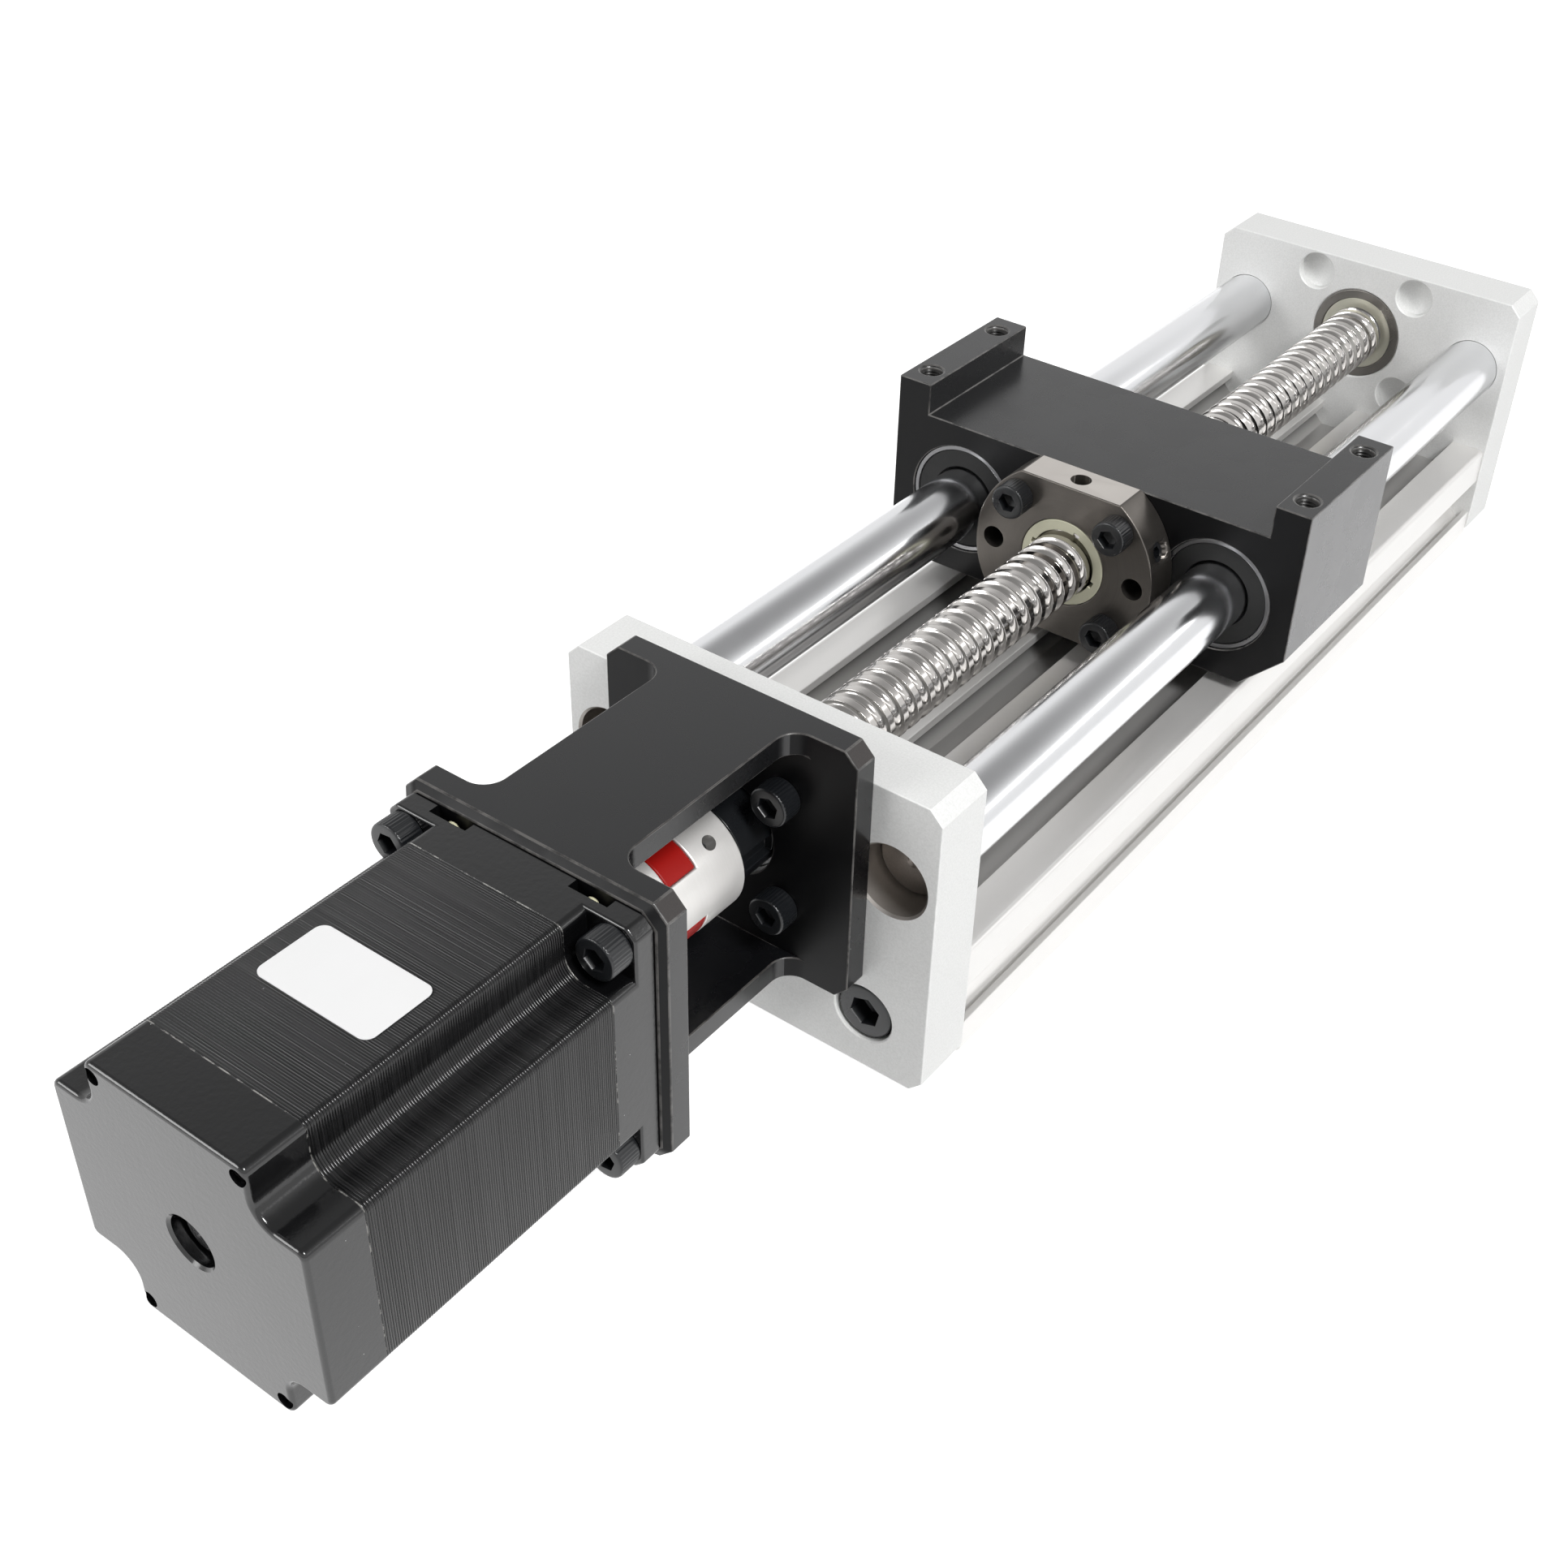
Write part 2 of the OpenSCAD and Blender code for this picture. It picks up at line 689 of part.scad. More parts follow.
// Square with a notch along each corner: rounded outer edges and a round
// inner corner
module notched_profile(edge_r) {
    h = motor_half;
    n = motor_half - notch_wall;
    inner_r = 4.5;
    translate([0, axis_z]) difference() {
        union() {
            square([2 * h, 2 * (h - n - edge_r)], center = true);
            square([2 * (h - n - edge_r), 2 * h], center = true);
            square(2 * (h - edge_r), center = true);
            for (sy = sides, sz = sides) {
                translate([sy * (h - n - edge_r), sz * (h - edge_r)]) circle(edge_r, $fn = 24);
                translate([sy * (h - edge_r), sz * (h - n - edge_r)]) circle(edge_r, $fn = 24);
            }
        }
        for (sy = sides, sz = sides) {
            translate([sy * (h - n + inner_r), sz * (h - n + inner_r)]) circle(inner_r, $fn = 32);
            scale_box(sy, sz, h - n + inner_r, h - n, n + 1);
            scale_box(sy, sz, h - n, h - n + inner_r, n + 1);
        }
    }
}

// Rectangle in one quadrant that starts at (y, z) and leaves the profile
module scale_box(sy, sz, y, z, reach) {
    translate([sy > 0 ? y : -y - reach, sz > 0 ? z : -z - reach]) square(reach);
}

// Holes for the long screws that clamp the caps and the stator
module case_screw_holes(x0, x1) {
    for (sy = sides, sz = sides)
        bar(M3[0] / 2 + 0.1, x0, x1, sy * case_y, axis_z + sz * case_z);
}

module motor_front_cap() {
    relief = 2.4;
    relief_w = 8.6;
    color(black_paint) difference() {
        union() {
            along_x(front_cap_x, motor_x - flange_t) notched_profile(1.6);
            along_x(motor_x - flange_t, motor_x) cut_rect(motor_w, motor_w, 2, axis_z - motor_half);
            bar(boss_d / 2, motor_x - 1, motor_x + 1.6);
        }
        bar(shaft_d / 2 + free_gap, front_cap_x - 1, motor_x + 3);
        bar(motor_bearing_r + seat_gap, front_cap_x - 1, front_cap_x + motor_bearing_w);
        case_screw_holes(front_cap_x - 1, motor_x + 1);
        for (sy = sides, sz = sides) {
            bar(M5[0] / 2 + 0.2, motor_x - flange_t - 1, motor_x + 1,
                sy * motor_hole_spacing / 2, axis_z + sz * motor_hole_spacing / 2);
            translate([motor_x - relief, sy * case_y - relief_w / 2, axis_z + (sz > 0 ? case_z - 3 : -motor_half - 1)])
                cube([relief + 1, relief_w, motor_half - case_z + 4]);
        }
    }
}

module motor_stator() {
    color(black_paint) difference() {
        along_x(rear_cap_x, front_cap_x) notched_profile(1.6);
        bar(stator_bore_r, rear_cap_x - 1, front_cap_x + 1);
        case_screw_holes(rear_cap_x - 1, front_cap_x + 1);
    }
}

module motor_rear_cap() {
    color(black_paint) difference() {
        along_x(rear_x, rear_cap_x) notched_profile(1.6);
        bar(5, rear_x - 1, rear_cap_x);
        bar(motor_bearing_r + seat_gap, rear_cap_x - motor_bearing_w, rear_cap_x + 1);
        case_screw_holes(rear_x - 1, rear_cap_x + 1);
        for (sy = sides, sz = sides)
            bar(M3[1] / 2 + 0.2, rear_x - 1, case_seat_x, sy * case_y, axis_z + sz * case_z);
        translate([rear_cap_x - lead_len, motor_half - lead_depth, axis_z - lead_w / 2])
            cube([lead_len + 1, lead_depth + 1, lead_w]);
    }
}

// Thin blank sticker on the top of the stator
module motor_label() {
    r = 2;
    thick = 0.15;
    mid_x = rear_cap_x + label_gap + label_len / 2;
    color([0.95, 0.95, 0.94]) translate([mid_x, 0, axis_z + motor_half]) linear_extrude(thick) union() {
        square([label_len - 2 * r, label_w], center = true);
        square([label_len, label_w - 2 * r], center = true);
        for (sx = sides, sy = sides) translate([sx * (label_len / 2 - r), sy * (label_w / 2 - r)]) circle(r);
    }
}

// Rubber insert where the motor's wires would leave the rear cap
module motor_lead_grommet() {
    gap = 0.1;
    proud = 0.5;
    hole_pitch = 2.6;
    color(rubber) difference() {
        translate([rear_cap_x - lead_len + gap, motor_half - lead_depth + gap, axis_z - lead_w / 2 + gap])
            cube([lead_len - 2 * gap, lead_depth - gap + proud, lead_w - 2 * gap]);
        for (i = [-1.5:1.5]) translate([rear_cap_x - lead_len / 2, motor_half - lead_depth / 2 + gap, axis_z + i * hole_pitch])
            rotate([-90, 0, 0]) cylinder(r = 0.8, h = lead_depth, $fn = 16);
    }
}

module motor_screw(i) {
    s = [[1, 1], [-1, 1], [-1, -1], [1, -1]][i] * motor_hole_spacing / 2;
    color(oxide) cap_screw(M5, motor_x - flange_t, flange_t + motor_flange_t - 0.5, s[0], axis_z + s[1]);
}

// Four long screws from the rear cap through the stator to the front cap
module motor_case_screws() {
    head_x = rear_x + 1.2;
    color([0.8, 0.74, 0.55]) for (sy = sides, sz = sides) {
        y = sy * case_y;
        z = axis_z + sz * case_z;
        difference() {
            union() {
                bar(M3[1] / 2, head_x, case_seat_x, y, z);
                bar(M3[0] / 2, case_seat_x, motor_x - 0.6, y, z);
            }
            hex_bar(M3[2], head_x - 1, head_x + 1.4, y, z);
        }
    }
}

module motor_bearing(x0) {
    color(steel) ring(motor_bearing_r, shaft_d / 2 + running_gap, x0, x0 + motor_bearing_w);
}

module motor_shaft() {
    tip = 0.5;
    flat_len = 15;
    flat_r = shaft_d / 2 - 0.5;
    end_x = motor_x + shaft_out;
    color(steel) difference() {
        union() {
            bar(shaft_d / 2, rear_x + 2.5, end_x - tip);
            cone(shaft_d / 2, shaft_d / 2 - tip, end_x - tip, end_x);
        }
        translate([end_x - flat_len, 0, 0]) about_axis(grub_turn)
            translate([0, flat_r, axis_z - shaft_d]) cube([flat_len + 1, shaft_d, 2 * shaft_d]);
    }
}

module motor_rotor() {
    air_gap = 0.6;
    color(steel) ring(stator_bore_r - air_gap, shaft_d / 2, rear_cap_x + 1, front_cap_x - 1);
}

// ------------------------------------------------------------ carriage

module carriage_block() {
    h = car_up + car_down;
    z0 = axis_z - car_down;
    w = car_w / 2;
    c = car_chamfer;
    color(black_alu) difference() {
        along_x(car_x0, car_x1) translate([0, z0]) polygon([
            [-w + c, 0], [w - c, 0], [w, c], [w, h], [w - post_w, h],
            [w - post_w, floor_up + car_down], [-w + post_w, floor_up + car_down],
            [-w + post_w, h], [-w, h], [-w, c]
        ]);
        bar(nut_body_d / 2 + seat_gap, car_x0 - 1, car_x1 + 1);
        for (s = sides) bar(lin_d / 2 + seat_gap, car_x0 - 1, car_x1 + 1, s * rod_spacing / 2);
        for (a = diagonals) about_axis(a)
            bar(M5[0] / 2 + seat_gap, car_x0 - 1, car_x0 + 14, nut_pcd / 2);
        for (sx = sides, sy = sides) translate([car_x + sx * hole_spacing_x / 2, sy * post_y, axis_z + car_up - 14])
            cylinder(d = table_thread_d * 0.84, h = 15);
    }
}

module ball_nut() {
    r = nut_flange_d / 2;
    color(steel) difference() {
        union() {
            intersection() {
                bar(r, nut_x0, car_x0);
                translate([nut_x0 - 1, -r - 1, axis_z - nut_flats / 2]) cube([nut_flange_t + 2, 2 * r + 2, nut_flats]);
            }
            bar(nut_body_d / 2, car_x0 - 1, nut_x1);
        }
        bar(nut_bore_r, nut_x0 - 1, nut_x1 + 1);
        bar(ball_circle_r + ball_r, nut_x0 + wiper_t + 4, nut_x1 - wiper_t - 4);
        bar(wiper_r + seat_gap, nut_x0 - 1, nut_x0 + wiper_t);
        bar(wiper_r + seat_gap, nut_x1 - wiper_t, nut_x1 + 1);
        for (a = [0:45:315]) if (a % 90 != 0 || a % 180 == 0) about_axis(a)
            bar(2.75, nut_x0 - 1, car_x0 + 1, nut_pcd / 2);
        // oil hole in the top flat
        translate([(nut_x0 + car_x0) / 2, 0, axis_z + wiper_r + 2]) cylinder(r = 2.5, h = nut_flats);
        // port in the rim
        about_axis(plug_turn) translate([(nut_x0 + car_x0) / 2, 0, axis_z]) rotate([-90, 0, 0])
            translate([0, 0, r - 5]) cylinder(r = 2.5 + seat_gap, h = 10, $fn = 32);
    }
}

// Balls in three turns of the groove. They stay put in the nut as the screw
// turns, because the groove follows the nut's travel.
module nut_balls() {
    per_turn = 16;
    turns = 3;
    first_x = (nut_x0 + nut_x1 - turns * lead) / 2;
    color(chrome) for (i = [0:turns * per_turn]) {
        x = first_x + lead * i / per_turn;
        a = 360 * (x - thread_x - groove_mid) / lead;
        translate([x, ball_circle_r * cos(a), axis_z + ball_circle_r * sin(a)]) sphere(ball_r - ball_gap);
    }
}

module nut_port_plug() {
    r = nut_flange_d / 2;
    color(steel) about_axis(plug_turn) translate([(nut_x0 + car_x0) / 2, 0, axis_z]) rotate([-90, 0, 0])
        difference() {
            translate([0, 0, r - 5]) cylinder(r = 2.5, h = 4.2, $fn = 32);
            translate([0, 0, r - 2.6]) cylinder(d = 2.5 / cos(30), h = 5, $fn = 6);
        }
}

// Plastic wiper ring, split by four notches at its inner edge
module nut_wiper(x0) {
    notch_w = 1.6;
    color([0.85, 0.84, 0.66]) difference() {
        ring(wiper_r, crest_r + 0.35, x0, x0 + wiper_t);
        for (a = [20:90:290]) about_axis(a)
            translate([x0 - 1, -notch_w / 2, axis_z]) cube([wiper_t + 2, notch_w, crest_r + 1.2]);
    }
}

module nut_screw(i) {
    a = diagonals[i];
    y = nut_pcd / 2 * cos(a);
    z = axis_z + nut_pcd / 2 * sin(a);
    color(oxide) cap_screw(M5, nut_x0, nut_flange_t + 12, y, z);
}

module linear_bearing(side) {
    y = side * rod_spacing / 2;
    wall = 1.1;
    groove = 0.5;
    color(steel) difference() {
        bar(lin_d / 2, lin_x0, lin_x0 + lin_len, y);
        bar(lin_d / 2 - wall, lin_x0 - 1, lin_x0 + lin_len + 1, y);
        for (x = [lin_x0 + 4.6, lin_x0 + lin_len - 6])
            ring(lin_d / 2 + 1, lin_d / 2 - groove, x, x + 1.6, y);
    }
}

module ball_cage(side) {
    y = side * rod_spacing / 2;
    color([0.25, 0.25, 0.26])
        ring(lin_d / 2 - 1.1 - seat_gap, rod_d / 2 + running_gap, lin_x0 + seal_t + 0.4, lin_x0 + lin_len - seal_t - 0.4, y);
}

module rod_seal(side, rear) {
    y = side * rod_spacing / 2;
    x0 = rear ? lin_x0 + lin_len - seal_t - 0.3 : lin_x0 + 0.3;
    color(rubber) ring(lin_d / 2 - 1.1 - seat_gap, rod_d / 2 + free_gap, x0, x0 + seal_t, y);
}

// ---------------------------------------------------------------- nodes

base_rail();
motor_end_plate();
far_end_plate();
guide_rod(1);  // guide_rod_left
guide_rod(-1);  // guide_rod_right
plate_screw(1, false);  // motor_plate_screw_left
plate_screw(-1, false);  // motor_plate_screw_right
plate_screw(1, true);  // far_plate_screw_left
plate_screw(-1, true);  // far_plate_screw_right
coupling_housing();
housing_screw(0);  // housing_screw_1
housing_screw(1);  // housing_screw_2
housing_screw(2);  // housing_screw_3
housing_screw(3);  // housing_screw_4
motor_front_cap();
motor_stator();
motor_rear_cap();
motor_label();
motor_lead_grommet();
motor_screw(0);  // motor_screw_1
motor_screw(1);  // motor_screw_2
motor_screw(2);  // motor_screw_3
motor_screw(3);  // motor_screw_4
motor_case_screws();
motor_bearing(front_cap_x);  // motor_bearing_front
motor_bearing(rear_cap_x - motor_bearing_w);  // motor_bearing_rear
near_bearing_outer();
far_bearing_outer();
far_bearing_shield();
ball_screw();
near_bearing_inner();
far_bearing_inner();
lock_nut();
coupling_hub_screw();
coupling_hub_motor();
coupling_spider();
grub_screw((hub_screw_x + hub_screw_end) / 2, coupling_journal_d / 2);  // grub_screw_screw
grub_screw((hub_motor_x + hub_motor_end) / 2, shaft_d / 2);  // grub_screw_motor
motor_shaft();
motor_rotor();
carriage_block();
ball_nut();
nut_wiper(nut_x0);  // nut_wiper_front
nut_wiper(nut_x1 - wiper_t);  // nut_wiper_rear
nut_screw(0);  // nut_screw_1
nut_screw(1);  // nut_screw_2
nut_screw(2);  // nut_screw_3
nut_screw(3);  // nut_screw_4
nut_port_plug();
nut_balls();
linear_bearing(1);  // linear_bearing_left
linear_bearing(-1);  // linear_bearing_right
ball_cage(1);  // ball_cage_left
ball_cage(-1);  // ball_cage_right
rod_seal(1, false);  // rod_seal_left_front
rod_seal(1, true);  // rod_seal_left_rear
rod_seal(-1, false);  // rod_seal_right_front
rod_seal(-1, true);  // rod_seal_right_rear
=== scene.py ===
"""Looks of a ball screw linear module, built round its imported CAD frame.

The module is a slotted rail between two end plates, with a carriage on two
guide rods, a ball screw, a jaw coupling in a black housing and a stepper motor.
Lengths are metres in the frame of the CAD model: X runs along the screw away
from the motor, Y across, Z up, and the rail's underside is Z = 0.
"""

import logging
import math
from collections.abc import Callable, Iterable, Sequence
from dataclasses import dataclass, field, replace
from enum import Enum
from functools import cache

import bmesh
import bpy
from mathutils import Matrix, Vector


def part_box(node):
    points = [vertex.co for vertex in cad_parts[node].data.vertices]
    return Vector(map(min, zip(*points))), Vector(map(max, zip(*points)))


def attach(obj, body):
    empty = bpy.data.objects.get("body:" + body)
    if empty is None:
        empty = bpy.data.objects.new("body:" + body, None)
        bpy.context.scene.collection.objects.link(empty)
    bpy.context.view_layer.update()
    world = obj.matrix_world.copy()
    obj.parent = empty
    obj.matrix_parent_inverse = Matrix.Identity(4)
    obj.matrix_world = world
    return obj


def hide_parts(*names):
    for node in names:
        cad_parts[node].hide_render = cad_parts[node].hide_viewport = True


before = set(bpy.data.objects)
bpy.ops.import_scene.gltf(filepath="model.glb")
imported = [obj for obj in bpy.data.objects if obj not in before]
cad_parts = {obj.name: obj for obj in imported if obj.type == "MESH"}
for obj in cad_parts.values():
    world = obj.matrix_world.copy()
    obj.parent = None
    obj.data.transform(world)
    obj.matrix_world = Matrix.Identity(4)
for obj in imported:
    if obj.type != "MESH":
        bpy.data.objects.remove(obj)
LOG = logging.getLogger("module")
MM = 0.001
TURN = 2 * math.pi
Point = tuple[float, float]
Place = tuple[float, float, float]
Colour = tuple[float, float, float]
Socket = bpy.types.NodeSocket
Piece = bpy.types.Object
Solid = bmesh.types.BMesh
Corner = bmesh.types.BMVert
SIDES = ("left", "right")


class Body(Enum):
    """The CAD bodies that pieces ride on."""

    BASE = "base"
    DRIVE = "drive"
    CARRIAGE = "carriage"


class Join(Enum):
    """Ways to combine two closed geometries."""

    ADD = "UNION"
    CUT = "DIFFERENCE"


class Slot(Enum):
    """The record's material slots."""

    RAIL = "rail_silver"
    PLATE = "plate_silver"
    ANODISED = "black_anodised"
    MOTOR = "motor_black"
    LAMINATIONS = "laminations"
    LABEL = "label"
    RUBBER = "black_rubber"
    OXIDE = "black_oxide"
    ZINC = "zinc"
    CHROME = "rod_chrome"
    SCREW = "screw_steel"
    NUT = "nut_steel"
    BEARING = "bearing_steel"
    DARK_STEEL = "dark_steel"
    SHIELD = "shield"
    COUPLING = "coupling_alu"
    SPIDER = "spider_red"
    WIPER = "wiper_cream"
    CAGE = "cage_plastic"


# ------------------------------------------------------------------ node tools


@dataclass(frozen=True)
class Wire:
    """An output socket that takes part in sums like a number."""

    sheet: "Sheet"
    socket: Socket

    def __add__(self, other: object) -> "Wire":
        """Adds."""
        return self.sheet.calc("ADD", self, other)

    def __sub__(self, other: object) -> "Wire":
        """Subtracts."""
        return self.sheet.calc("SUBTRACT", self, other)

    def __rsub__(self, other: object) -> "Wire":
        """Subtracts from a number."""
        return self.sheet.calc("SUBTRACT", other, self)

    def __mul__(self, other: object) -> "Wire":
        """Multiplies."""
        return self.sheet.calc("MULTIPLY", self, other)

    def __truediv__(self, other: object) -> "Wire":
        """Divides."""
        return self.sheet.calc("DIVIDE", self, other)

    def __rtruediv__(self, other: object) -> "Wire":
        """Divides a number."""
        return self.sheet.calc("DIVIDE", other, self)


class Sheet:
    """A node tree under construction, with short calls for its usual nodes."""

    def __init__(self, tree: bpy.types.NodeTree) -> None:
        """Keeps the tree that nodes are added to."""
        self.tree = tree

    def add(self, kind: str, **settings: object) -> bpy.types.Node:
        """Adds a node.

        Args:
            kind: The node's type name.
            settings: Properties of the node to set.

        Returns:
            The new node.
        """
        node = self.tree.nodes.new(kind)
        for key, value in settings.items():
            setattr(node, key, value)
        return node

    def feed(self, socket: Socket, value: object) -> None:
        """Links a socket to a wire, or sets its constant.

        Args:
            socket: The input socket.
            value: A wire, a number, a vector or a colour.
        """
        if isinstance(value, Wire):
            self.tree.links.new(value.socket, socket)
        else:
            socket.default_value = (*value, 1.0) if socket.type == "RGBA" else value

    def put(self, kind: str, *values: object, **settings: object) -> Wire:
        """Adds a node, feeds its first inputs in order and returns its first output.

        Args:
            kind: The node's type name.
            values: Wires or constants.
            settings: Properties of the node to set.

        Returns:
            The node's first output.
        """
        node = self.add(kind, **settings)
        for socket, value in zip(node.inputs, values):
            self.feed(socket, value)
        return Wire(self, node.outputs[0])

    def named(self, kind: str, output: str | int, **inputs: object) -> Wire:
        """Adds a node and feeds its inputs by name.

        Args:
            kind: The node's type name.
            output: Name or number of the output to return.
            inputs: Wires or constants, with underscores for spaces in the names.

        Returns:
            The output.
        """
        node = self.add(kind)
        for key, value in inputs.items():
            self.feed(node.inputs[key.replace("_", " ")], value)
        return Wire(self, node.outputs[output])

    def calc(self, operation: str, *values: object) -> Wire:
        """Adds a Math node."""
        return self.put("ShaderNodeMath", *values, operation=operation)

    def vector(self, x: object, y: object, z: object) -> Wire:
        """Combines three values into a vector."""
        return self.put("ShaderNodeCombineXYZ", x, y, z)

    def parts(self, vector: Wire) -> list[Wire]:
        """Splits a vector into its three components."""
        node = self.put("ShaderNodeSeparateXYZ", vector).socket.node
        return [Wire(self, socket) for socket in node.outputs]

    def spot(self, name: str = "Object") -> Wire:
        """Gives the coordinates of the point that is shaded."""
        return Wire(self, self.add("ShaderNodeTexCoord").outputs[name])

    def path(self, name: str) -> Wire:
        """Tells whether a ray is of one kind."""
        return Wire(self, self.add("ShaderNodeLightPath").outputs[f"Is {name} Ray"])

    def smooth_range(
        self, value: object, low: object, high: object, out_low: float = 0.0, out_high: float = 1.0
    ) -> Wire:
        """Maps a value from one range to another with soft ends.

        Args:
            value: The value to map.
            low: Value that gives out_low.
            high: Value that gives out_high.
            out_low: Result at and below low.
            out_high: Result at and above high.

        Returns:
            The mapped value.
        """
        return self.put("ShaderNodeMapRange", value, low, high, out_low, out_high, interpolation_type="SMOOTHSTEP")


# --------------------------------------------------------------- shader groups


class Effect(Sheet):
    """A shader node group with named inputs and outputs."""

    def __init__(self, name: str, inputs: dict[str, float], outputs: Sequence[str]) -> None:
        """Makes the empty group.

        Args:
            name: Name of the group.
            inputs: Input names with their defaults.
            outputs: Names of the value outputs.
        """
        super().__init__(bpy.data.node_groups.new(name, "ShaderNodeTree"))
        face = self.tree.interface
        for label, default in inputs.items():
            face.new_socket(name=label, in_out="INPUT", socket_type="NodeSocketFloat").default_value = default
        for label in outputs:
            face.new_socket(name=label, in_out="OUTPUT", socket_type="NodeSocketFloat")
        self.inputs = {socket.name: Wire(self, socket) for socket in self.add("NodeGroupInput").outputs}
        self.outputs = self.add("NodeGroupOutput").inputs
        self.place = self.spot()

    def noise(self, name: str, vector: Wire, scale: object, detail: float) -> None:
        """Gives an output the value of a noise texture, about 0.5 in the middle.

        Args:
            name: Name of the group's output.
            vector: Where to read it.
            scale: Features per metre.
            detail: Octaves.
        """
        value = self.named("ShaderNodeTexNoise", 0, Vector=vector, Scale=scale, Detail=detail, Roughness=0.6)
        self.feed(self.outputs[name], value)


@cache
def grain_group() -> bpy.types.NodeTree:
    """Fine even grain, as on blasted metal, moulded rubber or cast paint.

    Returns:
        The group, with outputs Height and Cloud.
    """
    e = Effect("Grain", {"Size": 0.0003, "Cloud Size": 0.012}, ["Height", "Cloud"])
    e.noise("Height", e.place, 1.0 / e.inputs["Size"], 3.0)
    e.noise("Cloud", e.place, 1.0 / e.inputs["Cloud Size"], 4.0)
    return e.tree


@cache
def drawn_group() -> bpy.types.NodeTree:
    """Long fine lines along X, as a drawing die or a long stroke leaves.

    Returns:
        The group, with output Lines.
    """
    e = Effect("Drawn lines", {"Pitch": 0.0002, "Length": 0.08}, ["Lines"])
    x, y, z = e.parts(e.place)
    across = 1.0 / e.inputs["Pitch"]
    e.noise("Lines", e.vector(x / e.inputs["Length"], y * across, z * across), 1.0, 3.0)
    return e.tree


@cache
def turned_group() -> bpy.types.NodeTree:
    """Lines round an axis along X, as a lathe or a grinder leaves.

    Returns:
        The group, with output Lines.
    """
    e = Effect("Turned lines", {"Axis Y": 0.0, "Axis Z": 0.0, "Pitch": 0.0002}, ["Lines"])
    x, y, z = e.parts(e.place)
    dy, dz = y - e.inputs["Axis Y"], z - e.inputs["Axis Z"]
    radius = e.calc("SQRT", dy * dy + dz * dz)
    fine = 1.0 / e.inputs["Pitch"]
    along = e.calc("COSINE", e.calc("ARCTAN2", dz, dy)) * 0.7
    e.noise("Lines", e.vector(x * fine, radius * fine, along), 1.0, 2.0)
    return e.tree


@cache
def specks_group() -> bpy.types.NodeTree:
    """Sparse small specks of dust or bare metal.

    Returns:
        The group, with output Mask, which is 1 on a speck.
    """
    e = Effect("Specks", {"Spacing": 0.003, "Size": 0.12, "Share": 0.3}, ["Mask"])
    # Sparse small specks of dirt or bare metal.
    cells = e.named("ShaderNodeTexVoronoi", "Distance", Vector=e.place, Scale=1.0 / e.inputs["Spacing"])
    pick = e.parts(Wire(e, cells.socket.node.outputs["Color"]))
    dot = e.calc("LESS_THAN", cells, e.inputs["Size"] * pick[1])
    e.feed(e.outputs["Mask"], dot * e.calc("LESS_THAN", pick[0], e.inputs["Share"]))
    return e.tree


class Surface(Sheet):
    """A material's node tree round one Principled shader."""

    # Sizes and band of the noise that breaks up edge wear and the painted edge highlight
    wear_and_highlight_sizes = {"Size": 0.0007, "Cloud_Size": 0.004}
    wear_and_highlight_band = (0.35, 0.6)
    wear_and_highlight_least = 0.25

    def __init__(self, name: str) -> None:
        """Makes the material with its shader.

        Args:
            name: Name of the material.
        """
        self.material = bpy.data.materials.new(name)
        self.material.use_nodes = True
        super().__init__(self.material.node_tree)
        self.shader = self.tree.nodes["Principled BSDF"]

    def effect(self, group: Callable[[], bpy.types.NodeTree], **inputs: float) -> dict[str, Wire]:
        """Places a shared effect.

        Args:
            group: The function that makes the effect's group.
            inputs: Its inputs, with underscores for spaces.

        Returns:
            The effect's outputs by name.
        """
        node = self.add("ShaderNodeGroup", node_tree=group())
        for key, value in inputs.items():
            node.inputs[key.replace("_", " ")].default_value = value
        return {socket.name: Wire(self, socket) for socket in node.outputs}

    def mix(self, mask: object, low: object, high: object) -> Wire:
        """Mixes two colours by a mask.

        Args:
            mask: 0 gives low and 1 gives high.
            low: Colour or wire.
            high: Colour or wire.

        Returns:
            The mixed colour.
        """
        node = self.add("ShaderNodeMix", data_type="RGBA")
        self.feed(node.inputs["Factor"], mask)
        for key, value in (("A", low), ("B", high)):
            socket = next(s for s in node.inputs if s.name == key and s.type == "RGBA")
            self.feed(socket, value)
        return Wire(self, next(s for s in node.outputs if s.type == "RGBA"))

    def vary(self, mask: object, colour: Colour, contrast: float) -> Wire:
        """Makes a colour darker or lighter by a mask."""
        return self.mix(mask, tint(colour, 1 - contrast), tint(colour, 1 + contrast))

    def coat(self, mask: object, colour: object) -> None:
        """Lays a colour over the shader's base colour where the mask is 1."""
        base = self.shader.inputs["Base Color"]
        self.feed(base, self.mix(mask, Wire(self, base.links[0].from_socket), colour))

    def edges(self) -> Wire:
        """Makes a mask of the rounded edges, broken up by noise, for wear and a painted edge highlight.

        Returns:
            The mask, 1 where the edge is worn and carries the painted highlight.
        """
        rim = Wire(self, self.add("ShaderNodeAttribute", attribute_name="edge").outputs["Fac"])
        cloud = self.effect(grain_group, **self.wear_and_highlight_sizes)["Cloud"]
        return rim * self.smooth_range(cloud, *self.wear_and_highlight_band, self.wear_and_highlight_least, 1.0)

    def bump(self, height: Wire, depth: float, under: Wire | None = None) -> Wire:
        """Adds a bump of a real depth.

        Args:
            height: Height from 0 to 1.
            depth: Depth in metres.
            under: Normal of a bump below this one.

        Returns:
            The normal.
        """
        below = {"Normal": under} if under else {}
        return self.named("ShaderNodeBump", "Normal", Height=height, Distance=depth, Strength=1.0, **below)

    def set(self, **values: object) -> None:
        """Sets the shader's sockets, with underscores for spaces in their names."""
        for key, value in values.items():
            self.feed(self.shader.inputs[key.replace("_", " ")], value)


def tint(colour: Colour, factor: float) -> Colour:
    """Scales a colour's brightness."""
    return tuple(min(1.0, c * factor) for c in colour)


# -------------------------------------------------------------------- finishes


